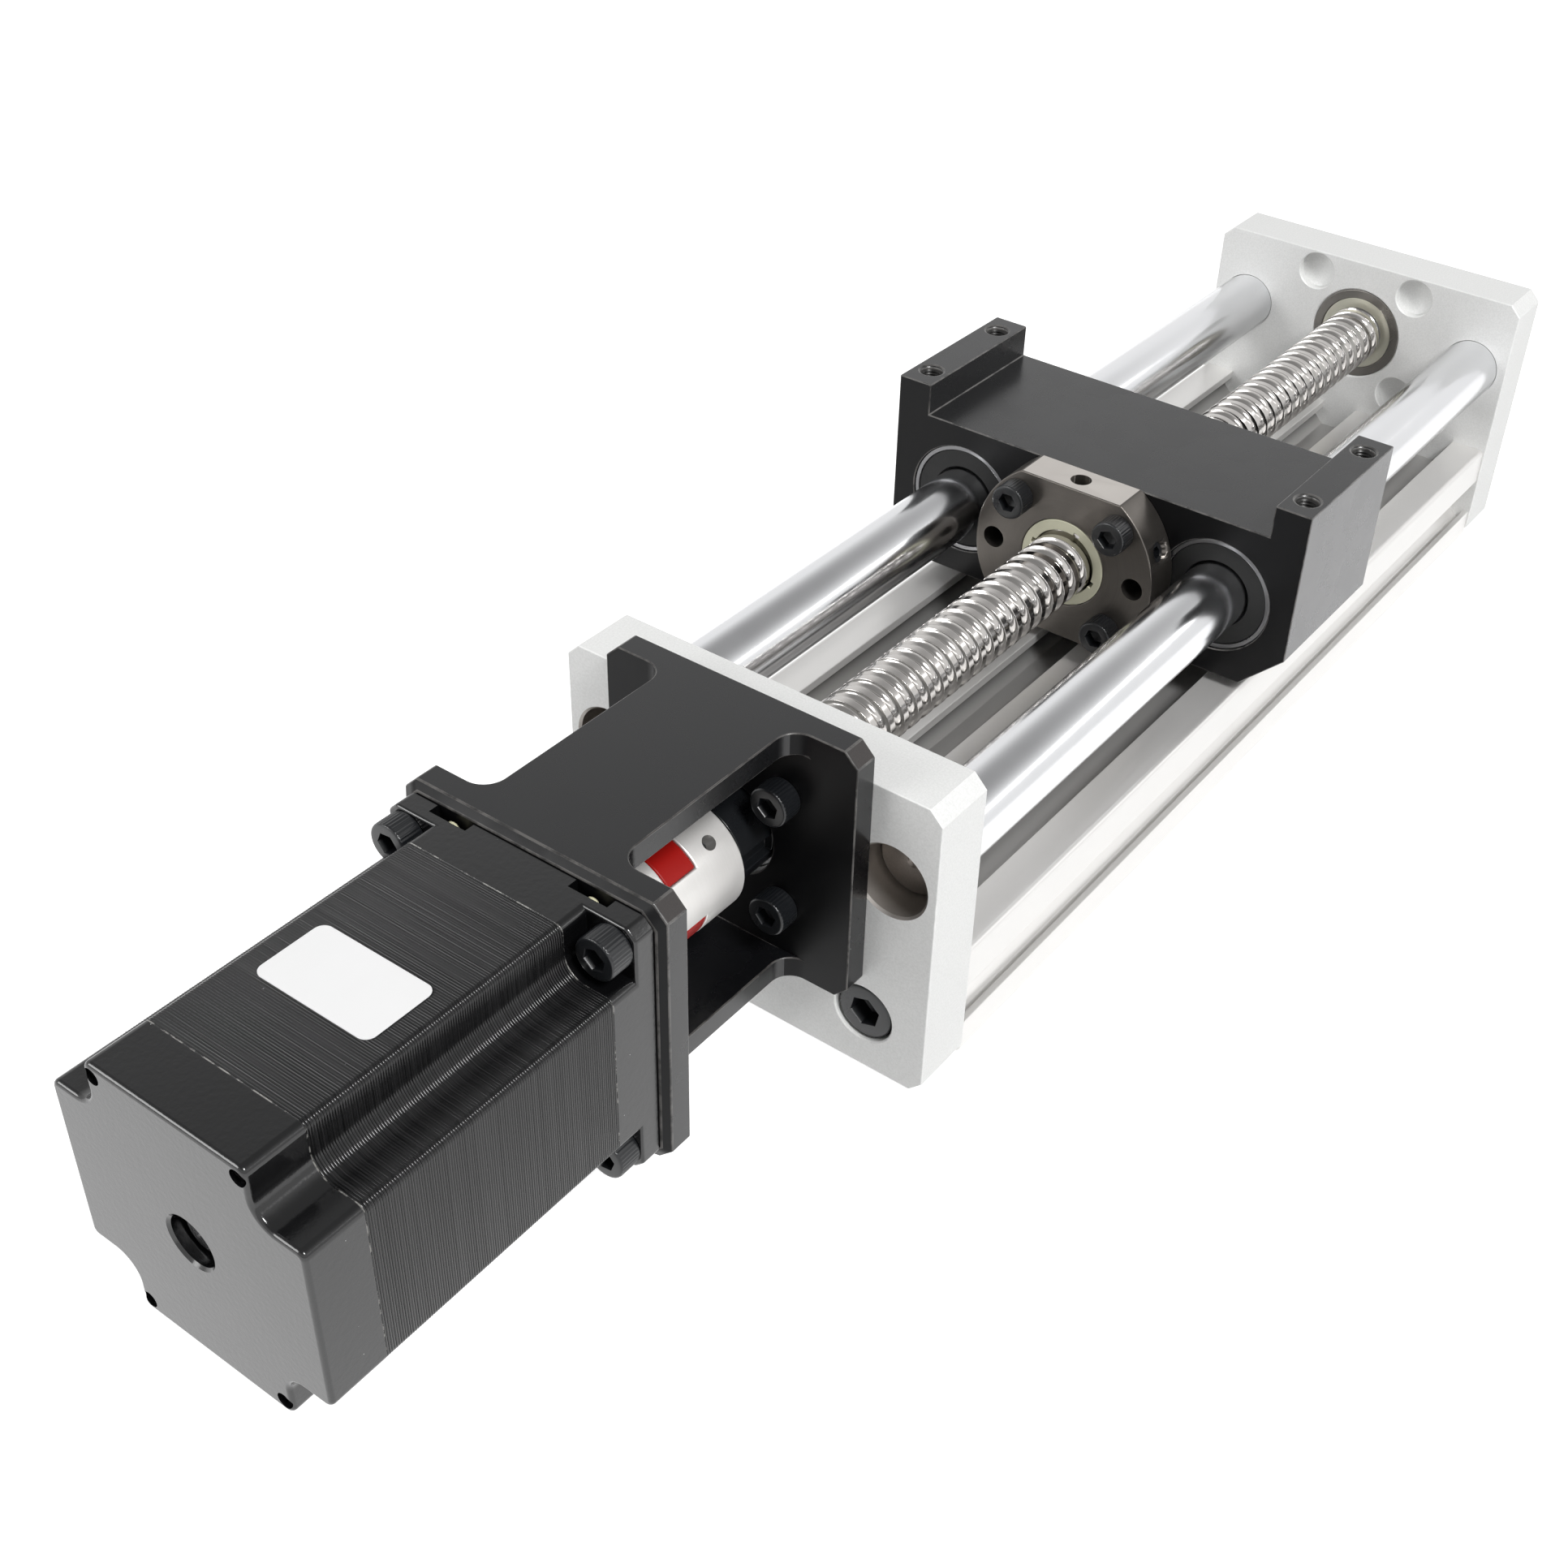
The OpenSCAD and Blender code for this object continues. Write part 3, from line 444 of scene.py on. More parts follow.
@dataclass(frozen=True)
class Finish:
    """A finish: even grain with soft clouds, as on blasted metal, anodised skin, rubber or plastic."""

    name: str
    colour: Colour
    roughness: float = 0.4
    metallic: float = 0.0
    specular: float = 0.5
    grain: float = 0.0003
    depth: float = 0.00001
    cloud: float = 0.012
    contrast: float = 0.08
    cloud_contrast: float = 0.04
    # Paler colour of the rounded edges, partly wear and partly a painted highlight
    edge_colour: Colour = (0.12, 0.115, 0.11)
    edge_share: float = 0.0
    speck_colour: Colour = (0.5, 0.5, 0.5)
    speck_share: float = 0.0
    speck_spacing: float = 0.003
    speck_size: float = 0.1
    speck_rough: float = 0.3

    def texture(self, s: Surface) -> dict[str, Wire]:
        """Places the finish's own grain."""
        return s.effect(grain_group, Size=self.grain, Cloud_Size=self.cloud)

    def rough(self, s: Surface, mask: Wire, half: float = 0.2, low: float = 0.9, high: float = 1.1) -> Wire:
        """Varies the roughness by a mask.

        Args:
            s: The surface to wire.
            mask: Value about 0.5 in the middle.
            half: Half the mask's range.
            low: Share of the roughness at the range's start.
            high: Share of the roughness at its end.

        Returns:
            The roughness.
        """
        return s.smooth_range(mask, 0.5 - half, 0.5 + half, self.roughness * low, self.roughness * high)

    def dress(self, s: Surface) -> None:
        """Wires grain, clouds, worn edges with a painted highlight, and specks.

        Args:
            s: The surface to wire.
        """
        grain = self.texture(s)
        shade = s.vary(grain["Cloud"], self.colour, self.cloud_contrast)
        base = s.mix(0.5, s.vary(grain["Height"], self.colour, self.contrast), shade)
        rough = self.rough(s, grain["Cloud"])
        # Worn edges, partly a painted highlight: the rounded edges take a paler colour where the mask is 1.
        if self.edge_share > 0:
            base = s.mix(s.edges() * self.edge_share, base, self.edge_colour)
        if self.speck_share > 0:
            sizes = {"Spacing": self.speck_spacing, "Size": self.speck_size, "Share": self.speck_share}
            mask = s.effect(specks_group, **sizes)["Mask"]
            base = s.mix(mask, base, self.speck_colour)
            rough = rough + mask * self.speck_rough
        s.set(Base_Color=base, Roughness=rough, Normal=s.bump(grain["Height"], self.depth))

    def material(self) -> bpy.types.Material:
        """Makes the finish's material, or finds the one made before.

        Returns:
            The material.
        """
        if self.name not in bpy.data.materials:
            s = Surface(self.name)
            s.set(Metallic=self.metallic, Specular_IOR_Level=self.specular)
            self.dress(s)
        return bpy.data.materials[self.name]


@dataclass(frozen=True)
class Turned(Finish):
    """Turned or ground metal: lines round an axis along X."""

    axis: Point = (0.0, 0.051)
    pitch: float = 0.00025
    line_depth: float = 0.000006
    line_contrast: float = 0.08

    def lines(self, s: Surface) -> Wire:
        """Places the lines."""
        return s.effect(turned_group, Axis_Y=self.axis[0], Axis_Z=self.axis[1], Pitch=self.pitch)["Lines"]

    def sheen(self, s: Surface, lines: Wire, cloud: Wire) -> Wire:
        """Varies the roughness with the clouds."""
        return self.rough(s, cloud, 0.2, 0.85, 1.15)

    def dress(self, s: Surface) -> None:
        """Wires the lines over a light grain.

        Args:
            s: The surface to wire.
        """
        lines, grain = self.lines(s), self.texture(s)
        ring = s.vary(lines, self.colour, self.line_contrast)
        cloud = s.vary(grain["Cloud"], self.colour, self.cloud_contrast)
        normal = s.bump(lines, self.line_depth, s.bump(grain["Height"], self.depth))
        s.set(Base_Color=s.mix(0.5, ring, cloud), Roughness=self.sheen(s, lines, grain["Cloud"]), Normal=normal)


@dataclass(frozen=True)
class Drawn(Turned):
    """Extruded or drawn metal: long lines along X."""

    pitch: float = 0.0003
    length: float = 0.06
    line_contrast: float = 0.06

    def lines(self, s: Surface) -> Wire:
        """Places the lines."""
        return s.effect(drawn_group, Pitch=self.pitch, Length=self.length)["Lines"]

    def sheen(self, s: Surface, lines: Wire, cloud: Wire) -> Wire:
        """Varies the roughness with the lines."""
        return self.rough(s, lines, 0.15, 0.9, 1.12)


@dataclass(frozen=True)
class Slotted(Drawn):
    """Extruded rail with painted shade inside its deep slots, lighter on the slot floors."""

    slot_low: float = 0.0015
    slot_high: float = 0.0262
    lip: float = 0.0014
    reach: float = 0.0385
    slot_painted_shade: float = 0.2
    floor_at: float = 0.0207
    floor_top: float = 0.0237
    floor_painted_shade: float = 0.6

    def dress(self, s: Surface) -> None:
        """Wires the drawing lines and paints shade into the slots.

        Args:
            s: The surface to wire.
        """
        super().dress(s)
        _, y, z = s.parts(s.spot())
        # Painted shade inside the slots: the walls get the darkest tint, the slot floors a lighter one.
        below = s.smooth_range(z, self.slot_high - self.lip, self.slot_high, 1.0, 0.0)
        above = s.smooth_range(z, self.slot_low, self.slot_low + self.lip)
        inside = s.calc("LESS_THAN", s.calc("ABSOLUTE", y), self.reach)
        depth = s.smooth_range(z, self.floor_at, self.floor_top)
        inner = s.mix(depth, tint(self.colour, self.floor_painted_shade), tint(self.colour, self.slot_painted_shade))
        s.coat(inside * (below * above), inner)


@dataclass(frozen=True)
class Painted(Finish):
    """Gloss paint over castings and laminations, with a painted highlight along the seams between them."""

    seams: tuple[float, ...] = (-0.2756, -0.2214)
    seam_width: float = 0.00017
    seam_core: float = 0.4
    seam_highlight_colour: Colour = (0.27, 0.265, 0.25)
    seam_break_sizes: Point = (0.0005, 0.0022)
    seam_break_band: Point = (0.47, 0.6)
    band_pitch: float = 0.0005
    band_width: float = 0.05
    band_edges: Point = (0.35, 0.65)
    painted_groove_light_colour: Colour | None = None

    def dress(self, s: Surface) -> None:
        """Wires the paint, the painted light lines along the laminations and the painted highlights along the seams.

        Args:
            s: The surface to wire.
        """
        super().dress(s)
        # Painted light: lighter lines along X at the lamination pitch stand in for the light and shade of the grooves
        # between the plates.
        if self.painted_groove_light_colour:
            along = s.effect(drawn_group, Pitch=self.band_width, Length=self.band_pitch)["Lines"]
            s.coat(s.smooth_range(along, *self.band_edges), self.painted_groove_light_colour)
        # Painted highlight: a pale line along each seam between the caps and the stack, broken up by noise.
        x, core = s.parts(s.spot())[0], self.seam_width * self.seam_core
        mask: object = 0.0
        for place in self.seams:
            line = s.smooth_range(s.calc("ABSOLUTE", x - place), core, self.seam_width, 1.0, 0.0)
            mask = s.calc("MAXIMUM", mask, line)
        cloud = s.effect(grain_group, Size=self.seam_break_sizes[0], Cloud_Size=self.seam_break_sizes[1])["Cloud"]
        s.coat(mask * s.smooth_range(cloud, *self.seam_break_band), self.seam_highlight_colour)


BLASTED = Finish(
    "Blasted silver anodise", (0.81, 0.815, 0.80), 0.46, 0.15, grain=0.00045, depth=0.00005, contrast=0.32,
    edge_colour=(0.92, 0.92, 0.91), edge_share=0.6,
)
EXTRUDED = Slotted(
    "Extruded silver anodise", (0.76, 0.75, 0.735), 0.34, 0.6, grain=0.00025, depth=0.000004,
    line_depth=0.0000015, line_contrast=0.035,
)
ANODISED = Finish(
    "Black anodise", (0.0045, 0.0047, 0.0055), 0.27, 0.0, 0.63, grain=0.00022, depth=0.000001, contrast=0.3,
    cloud_contrast=0.2, edge_share=0.85, speck_share=0.12, speck_spacing=0.004, speck_size=0.055,
)
# Painted sheen: a lighter, glossier copy of the black anodise for the carriage's sides, standing in for the reflection
# they catch
PAINTED_SHEEN_ANODISE = replace(
    ANODISED, name="Black anodise with painted sheen", colour=(0.066, 0.066, 0.069), specular=0.95, contrast=0.08,
    cloud_contrast=0.04, speck_share=0.0,
)
# Painted shade: a darker, less glossy copy of the black anodise for faces turned along X
SHADED_ANODISE = replace(
    ANODISED, name="Black anodise with painted shade", colour=(0.003, 0.003, 0.0035), roughness=0.38, specular=0.17,
    cloud_contrast=0.04, speck_share=0.0,
)
PAINT = Painted(
    "Black cap paint", (0.0038, 0.0039, 0.0043), 0.17, 0.0, 0.7, grain=0.0011, depth=0.000026, contrast=0.2,
    cloud_contrast=0.2, speck_colour=(0.35, 0.35, 0.35), speck_share=0.2, speck_spacing=0.002, speck_size=0.06,
)
LAMINATION = Painted(
    "Black lamination paint", (0.0042, 0.0043, 0.0046), 0.17, 0.0, 0.4, grain=0.0008, depth=0.000006, contrast=0.3,
    speck_colour=(0.4, 0.4, 0.4), speck_share=0.25, speck_size=0.05, painted_groove_light_colour=(0.014, 0.014, 0.0145),
)
CHROME = Turned(
    "Ground chrome", (0.77, 0.775, 0.79), 0.17, 1.0, grain=0.0006, depth=0.0000002, line_depth=0.0000003,
    line_contrast=0.02,
)
SCREW_STEEL = Turned(
    "Ground screw steel", (0.57, 0.55, 0.53), 0.15, 1.0, depth=0.0000006, line_depth=0.0000008, line_contrast=0.04,
)
NUT_STEEL = Turned(
    "Blackened nut steel", (0.135, 0.124, 0.113), 0.36, 0.9, line_depth=0.00001, line_contrast=0.18, pitch=0.0004,
    cloud_contrast=0.15,
)
COUPLING = Turned(
    "Turned coupling aluminium", (0.83, 0.815, 0.795), 0.4, 0.5, line_depth=0.00001, line_contrast=0.05,
    pitch=0.00035,
)
FLAT = Drawn("Ground nut flat", (0.60, 0.565, 0.53), 0.33, 0.85, pitch=0.0004, line_depth=0.000002, line_contrast=0.08)
DARK_STEEL = Turned("Dark bearing steel", (0.06, 0.058, 0.06), 0.35, 0.8, line_contrast=0.1)
BEARING = Turned("Bearing steel", (0.55, 0.55, 0.56), 0.22, 1.0, line_contrast=0.05)
SHIELD = Turned("Bearing shield", (0.60, 0.59, 0.50), 0.4, 0.8, line_contrast=0.06)
SHELL = Turned("Bearing shell steel", (0.20, 0.20, 0.205), 0.3, 0.9, line_contrast=0.06)
RACE = Turned("Ground bearing race", (0.22, 0.21, 0.195), 0.3, 0.9)
ZINC = Turned("Yellow zinc", (0.90, 0.87, 0.60), 0.35, 0.4)
OXIDE = Finish("Black oxide", (0.008, 0.009, 0.0105), 0.3, 0.0, 0.55, grain=0.0002, depth=0.000001, contrast=0.25)
RUBBER = Finish("Black rubber", (0.012, 0.012, 0.012), 0.62, 0.0, 0.35, contrast=0.2)
SPIDER = Finish("Red spider", (0.34, 0.006, 0.004), 0.4, 0.0, 0.24, grain=0.0006, depth=0.000006, contrast=0.06)
WIPER = Finish("Cream wiper plastic", (0.56, 0.55, 0.42), 0.45, 0.0, 0.4, grain=0.0004, contrast=0.06)
LABEL = Finish("Blank label film", (0.80, 0.80, 0.80), 0.42, 0.0, 0.4, grain=0.0002, depth=0.000004, contrast=0.02)
BORED = Finish("Bored aluminium", (0.47, 0.44, 0.41), 0.34, 0.75, contrast=0.15)
SAWN = Finish("Cut rod end", (0.21, 0.185, 0.165), 0.4, 0.75, grain=0.0004, depth=0.00002, contrast=0.4)
MILLED = Finish("Milled black edge", (0.02, 0.0155, 0.014), 0.42, 0.0, 0.55, grain=0.0004, depth=0.00004, contrast=0.8)
THREAD = Finish("Tapped thread", (0.022, 0.0215, 0.021), 0.35, 0.6, contrast=0.2)
CAGE = Finish("Cage plastic", (0.03, 0.03, 0.032), 0.45, 0.0, 0.4, contrast=0.1)


# ------------------------------------------------------------------ mesh tools


ROUND_FROM = math.radians(30.0)
ROUND_FACES = 3
FLAT_WITHIN = math.radians(0.4)
CAD_WELD = 0.002 * MM
CUT_WELD = 0.003 * MM

def linked(name: str, data: bpy.types.ID) -> Piece:
    """Puts a mesh, a lamp or a camera into the scene.

    Args:
        name: Name of the object.
        data: What it shows.

    Returns:
        The object.
    """
    obj = bpy.data.objects.new(name, data)
    bpy.context.scene.collection.objects.link(obj)
    return obj


def mesh_of(name: str, bm: Solid) -> bpy.types.Mesh:
    """Turns a geometry into a mesh.

    Args:
        name: Name of the mesh.
        bm: The geometry, which is freed.

    Returns:
        The mesh.
    """
    mesh = bpy.data.meshes.new(name)
    bm.to_mesh(mesh)
    bm.free()
    return mesh


def solid_of(meshes: Iterable[bpy.types.Mesh]) -> Solid:
    """Copies meshes into one geometry.

    Args:
        meshes: The meshes, which stay as they are.

    Returns:
        The geometry.
    """
    bm = bmesh.new()
    for mesh in meshes:
        bm.from_mesh(mesh)
    return bm


def joined(parts: Iterable[Solid]) -> Solid:
    """Puts several geometries into one and frees them."""
    return solid_of([mesh_of("part", part) for part in parts])


def weld(bm: Solid, distance: float) -> None:
    """Merges the points that are closer than a distance."""
    bmesh.ops.remove_doubles(bm, verts=bm.verts[:], dist=distance)


def face_out(bm: Solid) -> None:
    """Turns all faces outwards."""
    bmesh.ops.recalc_face_normals(bm, faces=bm.faces[:])


def from_bmesh(name: str, bm: Solid, sharp_deg: float = 32.0) -> Piece:
    """Turns a geometry into a smooth-shaded object and frees it.

    Args:
        name: Name of the piece.
        bm: The geometry.
        sharp_deg: Edges that turn more than this stay sharp.

    Returns:
        The new object.
    """
    mesh = mesh_of(name, bm)
    mesh.shade_smooth()
    mesh.set_sharp_from_angle(angle=math.radians(sharp_deg))
    return linked(name, mesh)


def evaluated(obj: Piece) -> bpy.types.Mesh:
    """Runs an object's modifiers.

    Args:
        obj: The object, which is removed.

    Returns:
        The plain mesh.
    """
    graph = bpy.context.evaluated_depsgraph_get()
    mesh = bpy.data.meshes.new_from_object(obj.evaluated_get(graph), preserve_all_data_layers=True, depsgraph=graph)
    bpy.data.objects.remove(obj)
    return mesh


def smooth_piece(name: str, bm: Solid, sharp_deg: float = 34.0) -> Piece:
    """Turns a geometry into an object whose flats shade flat and whose roundings shade smooth.

    Args:
        name: Name of the piece.
        bm: The geometry, which is freed.
        sharp_deg: Edges that turn more than this stay sharp.

    Returns:
        The new object.
    """
    carrier = from_bmesh(name + " carrier", bm, sharp_deg)
    modifier = carrier.modifiers.new("flats", "WEIGHTED_NORMAL")
    modifier.keep_sharp = True
    modifier.weight = 90
    mesh = evaluated(carrier)
    mesh.name = name
    return linked(name, mesh)


def combined(base: Solid, others: Iterable[Solid], join: Join = Join.CUT) -> Solid:
    """Cuts closed geometries from another one, or adds them, one after the other.

    Args:
        base: The geometry to change.
        others: The geometries to cut away or add.
        join: Whether to cut or to add.

    Returns:
        The result. All inputs are freed.
    """
    for other in others:
        body, tool = [linked("solid", mesh_of("solid", bm)) for bm in (base, other)]
        modifier = body.modifiers.new("combine", "BOOLEAN")
        modifier.operation, modifier.solver, modifier.object = join.value, "EXACT", tool
        base = solid_of([evaluated(body)])
        bpy.data.objects.remove(tool)
        weld(base, CUT_WELD)
    return base


def merged_nodes(nodes: Iterable[str]) -> Solid:
    """Copies CAD nodes into one geometry with merged points and whole flat faces.

    Args:
        nodes: Names of the CAD nodes.

    Returns:
        The closed copy.
    """
    bm = solid_of(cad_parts[node].data for node in nodes)
    weld(bm, CAD_WELD)
    bmesh.ops.dissolve_limit(
        bm, angle_limit=FLAT_WITHIN, verts=bm.verts[:], edges=bm.edges[:], use_dissolve_boundaries=False
    )
    return bm


def sharp_chains(bm: Solid) -> list[list[bmesh.types.BMEdge]]:
    """Groups the edges that turn more than ROUND_FROM into connected chains.

    Args:
        bm: The geometry.

    Returns:
        The chains of edges.
    """
    fresh = {e for e in bm.edges if len(e.link_faces) == 2 and e.calc_face_angle(0.0) > ROUND_FROM}
    chains = []
    while fresh:
        front = [fresh.pop()]
        chain = list(front)
        while front:
            near = {e for v in front.pop().verts for e in v.link_edges} & fresh
            fresh -= near
            front += near
            chain += near
        chains.append(chain)
    return chains


def round_edges(bm: Solid, width: float, least: float) -> None:
    """Rounds the sharp edges of every chain that is large enough.

    The new faces have the value 1 in the face attribute "edge".

    Args:
        bm: The geometry.
        width: Width of the rounding.
        least: Chains with a smaller extent stay sharp.
    """
    mark = bm.faces.layers.float.new("edge")
    chosen = []
    for chain in sharp_chains(bm):
        spots = [v.co for e in chain for v in e.verts]
        extent = Vector([max(p[i] for p in spots) - min(p[i] for p in spots) for i in range(3)])
        if extent.length > least:
            chosen += chain
    done = bmesh.ops.bevel(
        bm, geom=chosen, offset=width, offset_type="OFFSET", segments=ROUND_FACES, profile=0.5, affect="EDGES",
        clamp_overlap=False, loop_slide=False,
    )
    for face in done["faces"]:
        face[mark] = 1.0


def inset(outline: Sequence[Point], distance: float) -> list[Point]:
    """Moves a counter-clockwise outline inwards by a distance.

    Args:
        outline: The outline's points.
        distance: How far each side moves.

    Returns:
        The moved outline, rounded to the precision of a mesh.
    """
    out = []
    for i, here in enumerate(outline):
        p, a, b = Vector(here), Vector(outline[i - 1]), Vector(outline[(i + 1) % len(outline)])
        before, after = (p - a).normalized(), (b - p).normalized()
        middle = Vector((-before.y, before.x)) + Vector((-after.y, after.x))
        middle /= max(middle.length_squared / 2, 0.2)
        out.append(tuple(p + middle * distance))
    return out


def strip(bm: Solid, a: Sequence[Corner], b: Sequence[Corner]) -> list[bmesh.types.BMFace]:
    """Joins two rings of points with a strip of faces."""
    return [bm.faces.new((p, q, s, r)) for p, q, r, s in zip(a, [*a[1:], a[0]], b, [*b[1:], b[0]])]


def prism_bmesh(outline: Sequence[Point], ends: Point, rims: Point, steps: int = 4) -> Solid:
    """Makes a prism along X with rounded rims.

    Args:
        outline: Counter-clockwise outline in Y and Z.
        ends: Start and end of the prism.
        rims: Radius of the rim at each end.
        steps: Faces across each rim.

    Returns:
        The closed geometry, its rims marked in the face attribute "edge".
    """
    bm = bmesh.new()
    mark = bm.faces.layers.float.new("edge")
    turns = [math.pi / 2 * k / steps for k in range(steps + 1)]
    rows = [(ends[0] + rims[0] * (1 - math.sin(a)), rims[0] * (1 - math.cos(a))) for a in reversed(turns)]
    rows += [(ends[1] - rims[1] * (1 - math.sin(a)), rims[1] * (1 - math.cos(a))) for a in turns]
    rings = [[bm.verts.new((x, y, z)) for y, z in inset(outline, d)] for x, d in rows]
    for row, (a, b) in enumerate(zip(rings, rings[1:])):
        for face in strip(bm, a, b):
            face[mark] = float(row != steps)
    bm.faces.new(list(reversed(rings[0])))
    bm.faces.new(rings[-1])
    face_out(bm)
    return bm


def block_bmesh(low: Sequence[float], high: Sequence[float]) -> Solid:
    """Makes a box.

    Args:
        low: Its lowest corner.
        high: Its highest corner.

    Returns:
        The closed geometry.
    """
    bm = bmesh.new()
    bmesh.ops.create_cube(bm, size=1.0)
    for v in bm.verts:
        v.co = Vector([high[i] if v.co[i] > 0 else low[i] for i in range(3)])
    return bm


def turned_bmesh(
    profile: Sequence[Point], place: Point, segments: int = 96, closed: bool = False, phase: float = 0.0
) -> Solid:
    """Revolves a profile round a line along X.

    Args:
        profile: Points as (x, radius). A radius of 0 is a pole.
        place: Y and Z of the axis.
        segments: Faces round the axis.
        closed: Joins the last point to the first, for a ring.
        phase: Angle of the first point.

    Returns:
        The geometry, facing outwards.
    """
    y, z = place
    bm = bmesh.new()
    angles = [phase + TURN * i / segments for i in range(segments)]
    rings = [
        [bm.verts.new((x, y + r * math.cos(a), z + r * math.sin(a))) for a in (angles if r > 1e-9 else [0.0])]
        for x, r in profile
    ]
    for a, b in zip(rings, rings[1:] + rings[:1] if closed else rings[1:]):
        for i in range(segments):
            j = (i + 1) % segments
            loop = dict.fromkeys([a[i % len(a)], a[j % len(a)], b[j % len(b)], b[i % len(b)]])
            if len(loop) > 2:
                bm.faces.new(list(loop))
    face_out(bm)
    return bm


def stepped_bmesh(start: float, steps: Iterable[Point], place: Point, segments: int) -> Solid:
    """Makes a stepped bar along X.

    Args:
        start: Where it starts.
        steps: End and radius of each step.
        place: Y and Z of the axis.
        segments: Faces round the axis.

    Returns:
        The closed bar.
    """
    profile = [(start, 0.0)]
    for end, radius in steps:
        profile += [(profile[-1][0], radius), (end, radius)]
    return turned_bmesh([*profile, (profile[-1][0], 0.0)], place, segments)


def softened(points: Sequence[Point], radius: float, steps: int = 3, closed: bool = True) -> list[Point]:
    """Rounds the corners of a profile.

    Args:
        points: The corners.
        radius: Rounding radius, limited by the neighbouring edges.
        steps: Points along each rounding, less one.
        closed: True if the last corner joins the first.

    Returns:
        The rounded profile's points.
    """
    out: list[Point] = []
    for i, here in enumerate(points):
        if not closed and i in (0, len(points) - 1):
            out.append(here)
            continue
        p, a, b = Vector(here), Vector(points[i - 1]), Vector(points[(i + 1) % len(points)])
        cut = min(radius, 0.45 * (a - p).length, 0.45 * (b - p).length)
        start, end = p + (a - p).normalized() * cut, p + (b - p).normalized() * cut
        for t in (k / steps for k in range(steps + 1)):
            out.append(tuple(start * (1 - t) ** 2 + p * 2 * t * (1 - t) + end * t**2))
    return out


def axis_of(node: str) -> Place:
    """Gives the Y, the Z and the half height of a CAD node."""
    low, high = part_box(node)
    return (low.y + high.y) / 2, (low.z + high.z) / 2, (high.z - low.z) / 2


def quadrants(a: float, b: float, middle: Point) -> list[Point]:
    """Gives the four places at equal offsets round a middle."""
    return [(middle[0] + sa * a, middle[1] + sb * b) for sa in (1, -1) for sb in (1, -1)]


@dataclass
class Maker:
    """Shared ways to finish the pieces of a sub-assembly."""

    body: Body = Body.BASE
    made: list[str] = field(default_factory=list)

    def settle(
        self, piece: Piece, finish: Finish, slot: Slot, nodes: Sequence[str] = (), body: Body | None = None
    ) -> Piece:
        """Gives a piece its finish and body, and hides the CAD nodes it stands for.

        Args:
            piece: The finished mesh object.
            finish: Its finish.
            slot: The record's material slot, which is not used.
            nodes: CAD nodes that it stands for.
            body: The body it rides on, if not the sub-assembly's own.

        Returns:
            The same piece.
        """
        piece.data.materials.append(finish.material())
        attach(piece, (body or self.body).value)
        if nodes:
            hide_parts(*nodes)
        self.made.append(piece.name)
        return piece

    def recoat(self, piece: Piece, finish: Finish, chosen: Callable[[bpy.types.MeshPolygon], bool]) -> None:
        """Gives some faces of a piece another finish.

        Args:
            piece: The piece, which has its first finish.
            finish: Finish of the chosen faces.
            chosen: Tells for each face whether it is one of them.
        """
        piece.data.materials.append(finish.material())
        for face in filter(chosen, piece.data.polygons):
            face.material_index = len(piece.data.materials) - 1

    def machined(
        self, name: str, nodes: Sequence[str], finish: Finish, slot: Slot, edge: float = 0.25 * MM,
        least: float = 5 * MM, body: Body | None = None,
    ) -> Piece:
        """Copies CAD nodes and rounds their sharp edges.

        Args:
            name: Name of the piece.
            nodes: CAD nodes to copy and stand for.
            finish: Its finish.
            slot: The record's material slot.
            edge: Width of the rounded edges, or 0 to leave them sharp.
            least: Edge chains with a smaller extent stay sharp.
            body: The body it rides on, if not the sub-assembly's own.

        Returns:
            The piece.
        """
        bm = merged_nodes(nodes)
        if edge:
            round_edges(bm, edge, least)
        return self.settle(smooth_piece(name, bm), finish, slot, nodes, body)


# -------------------------------------------------------------- geometry trees


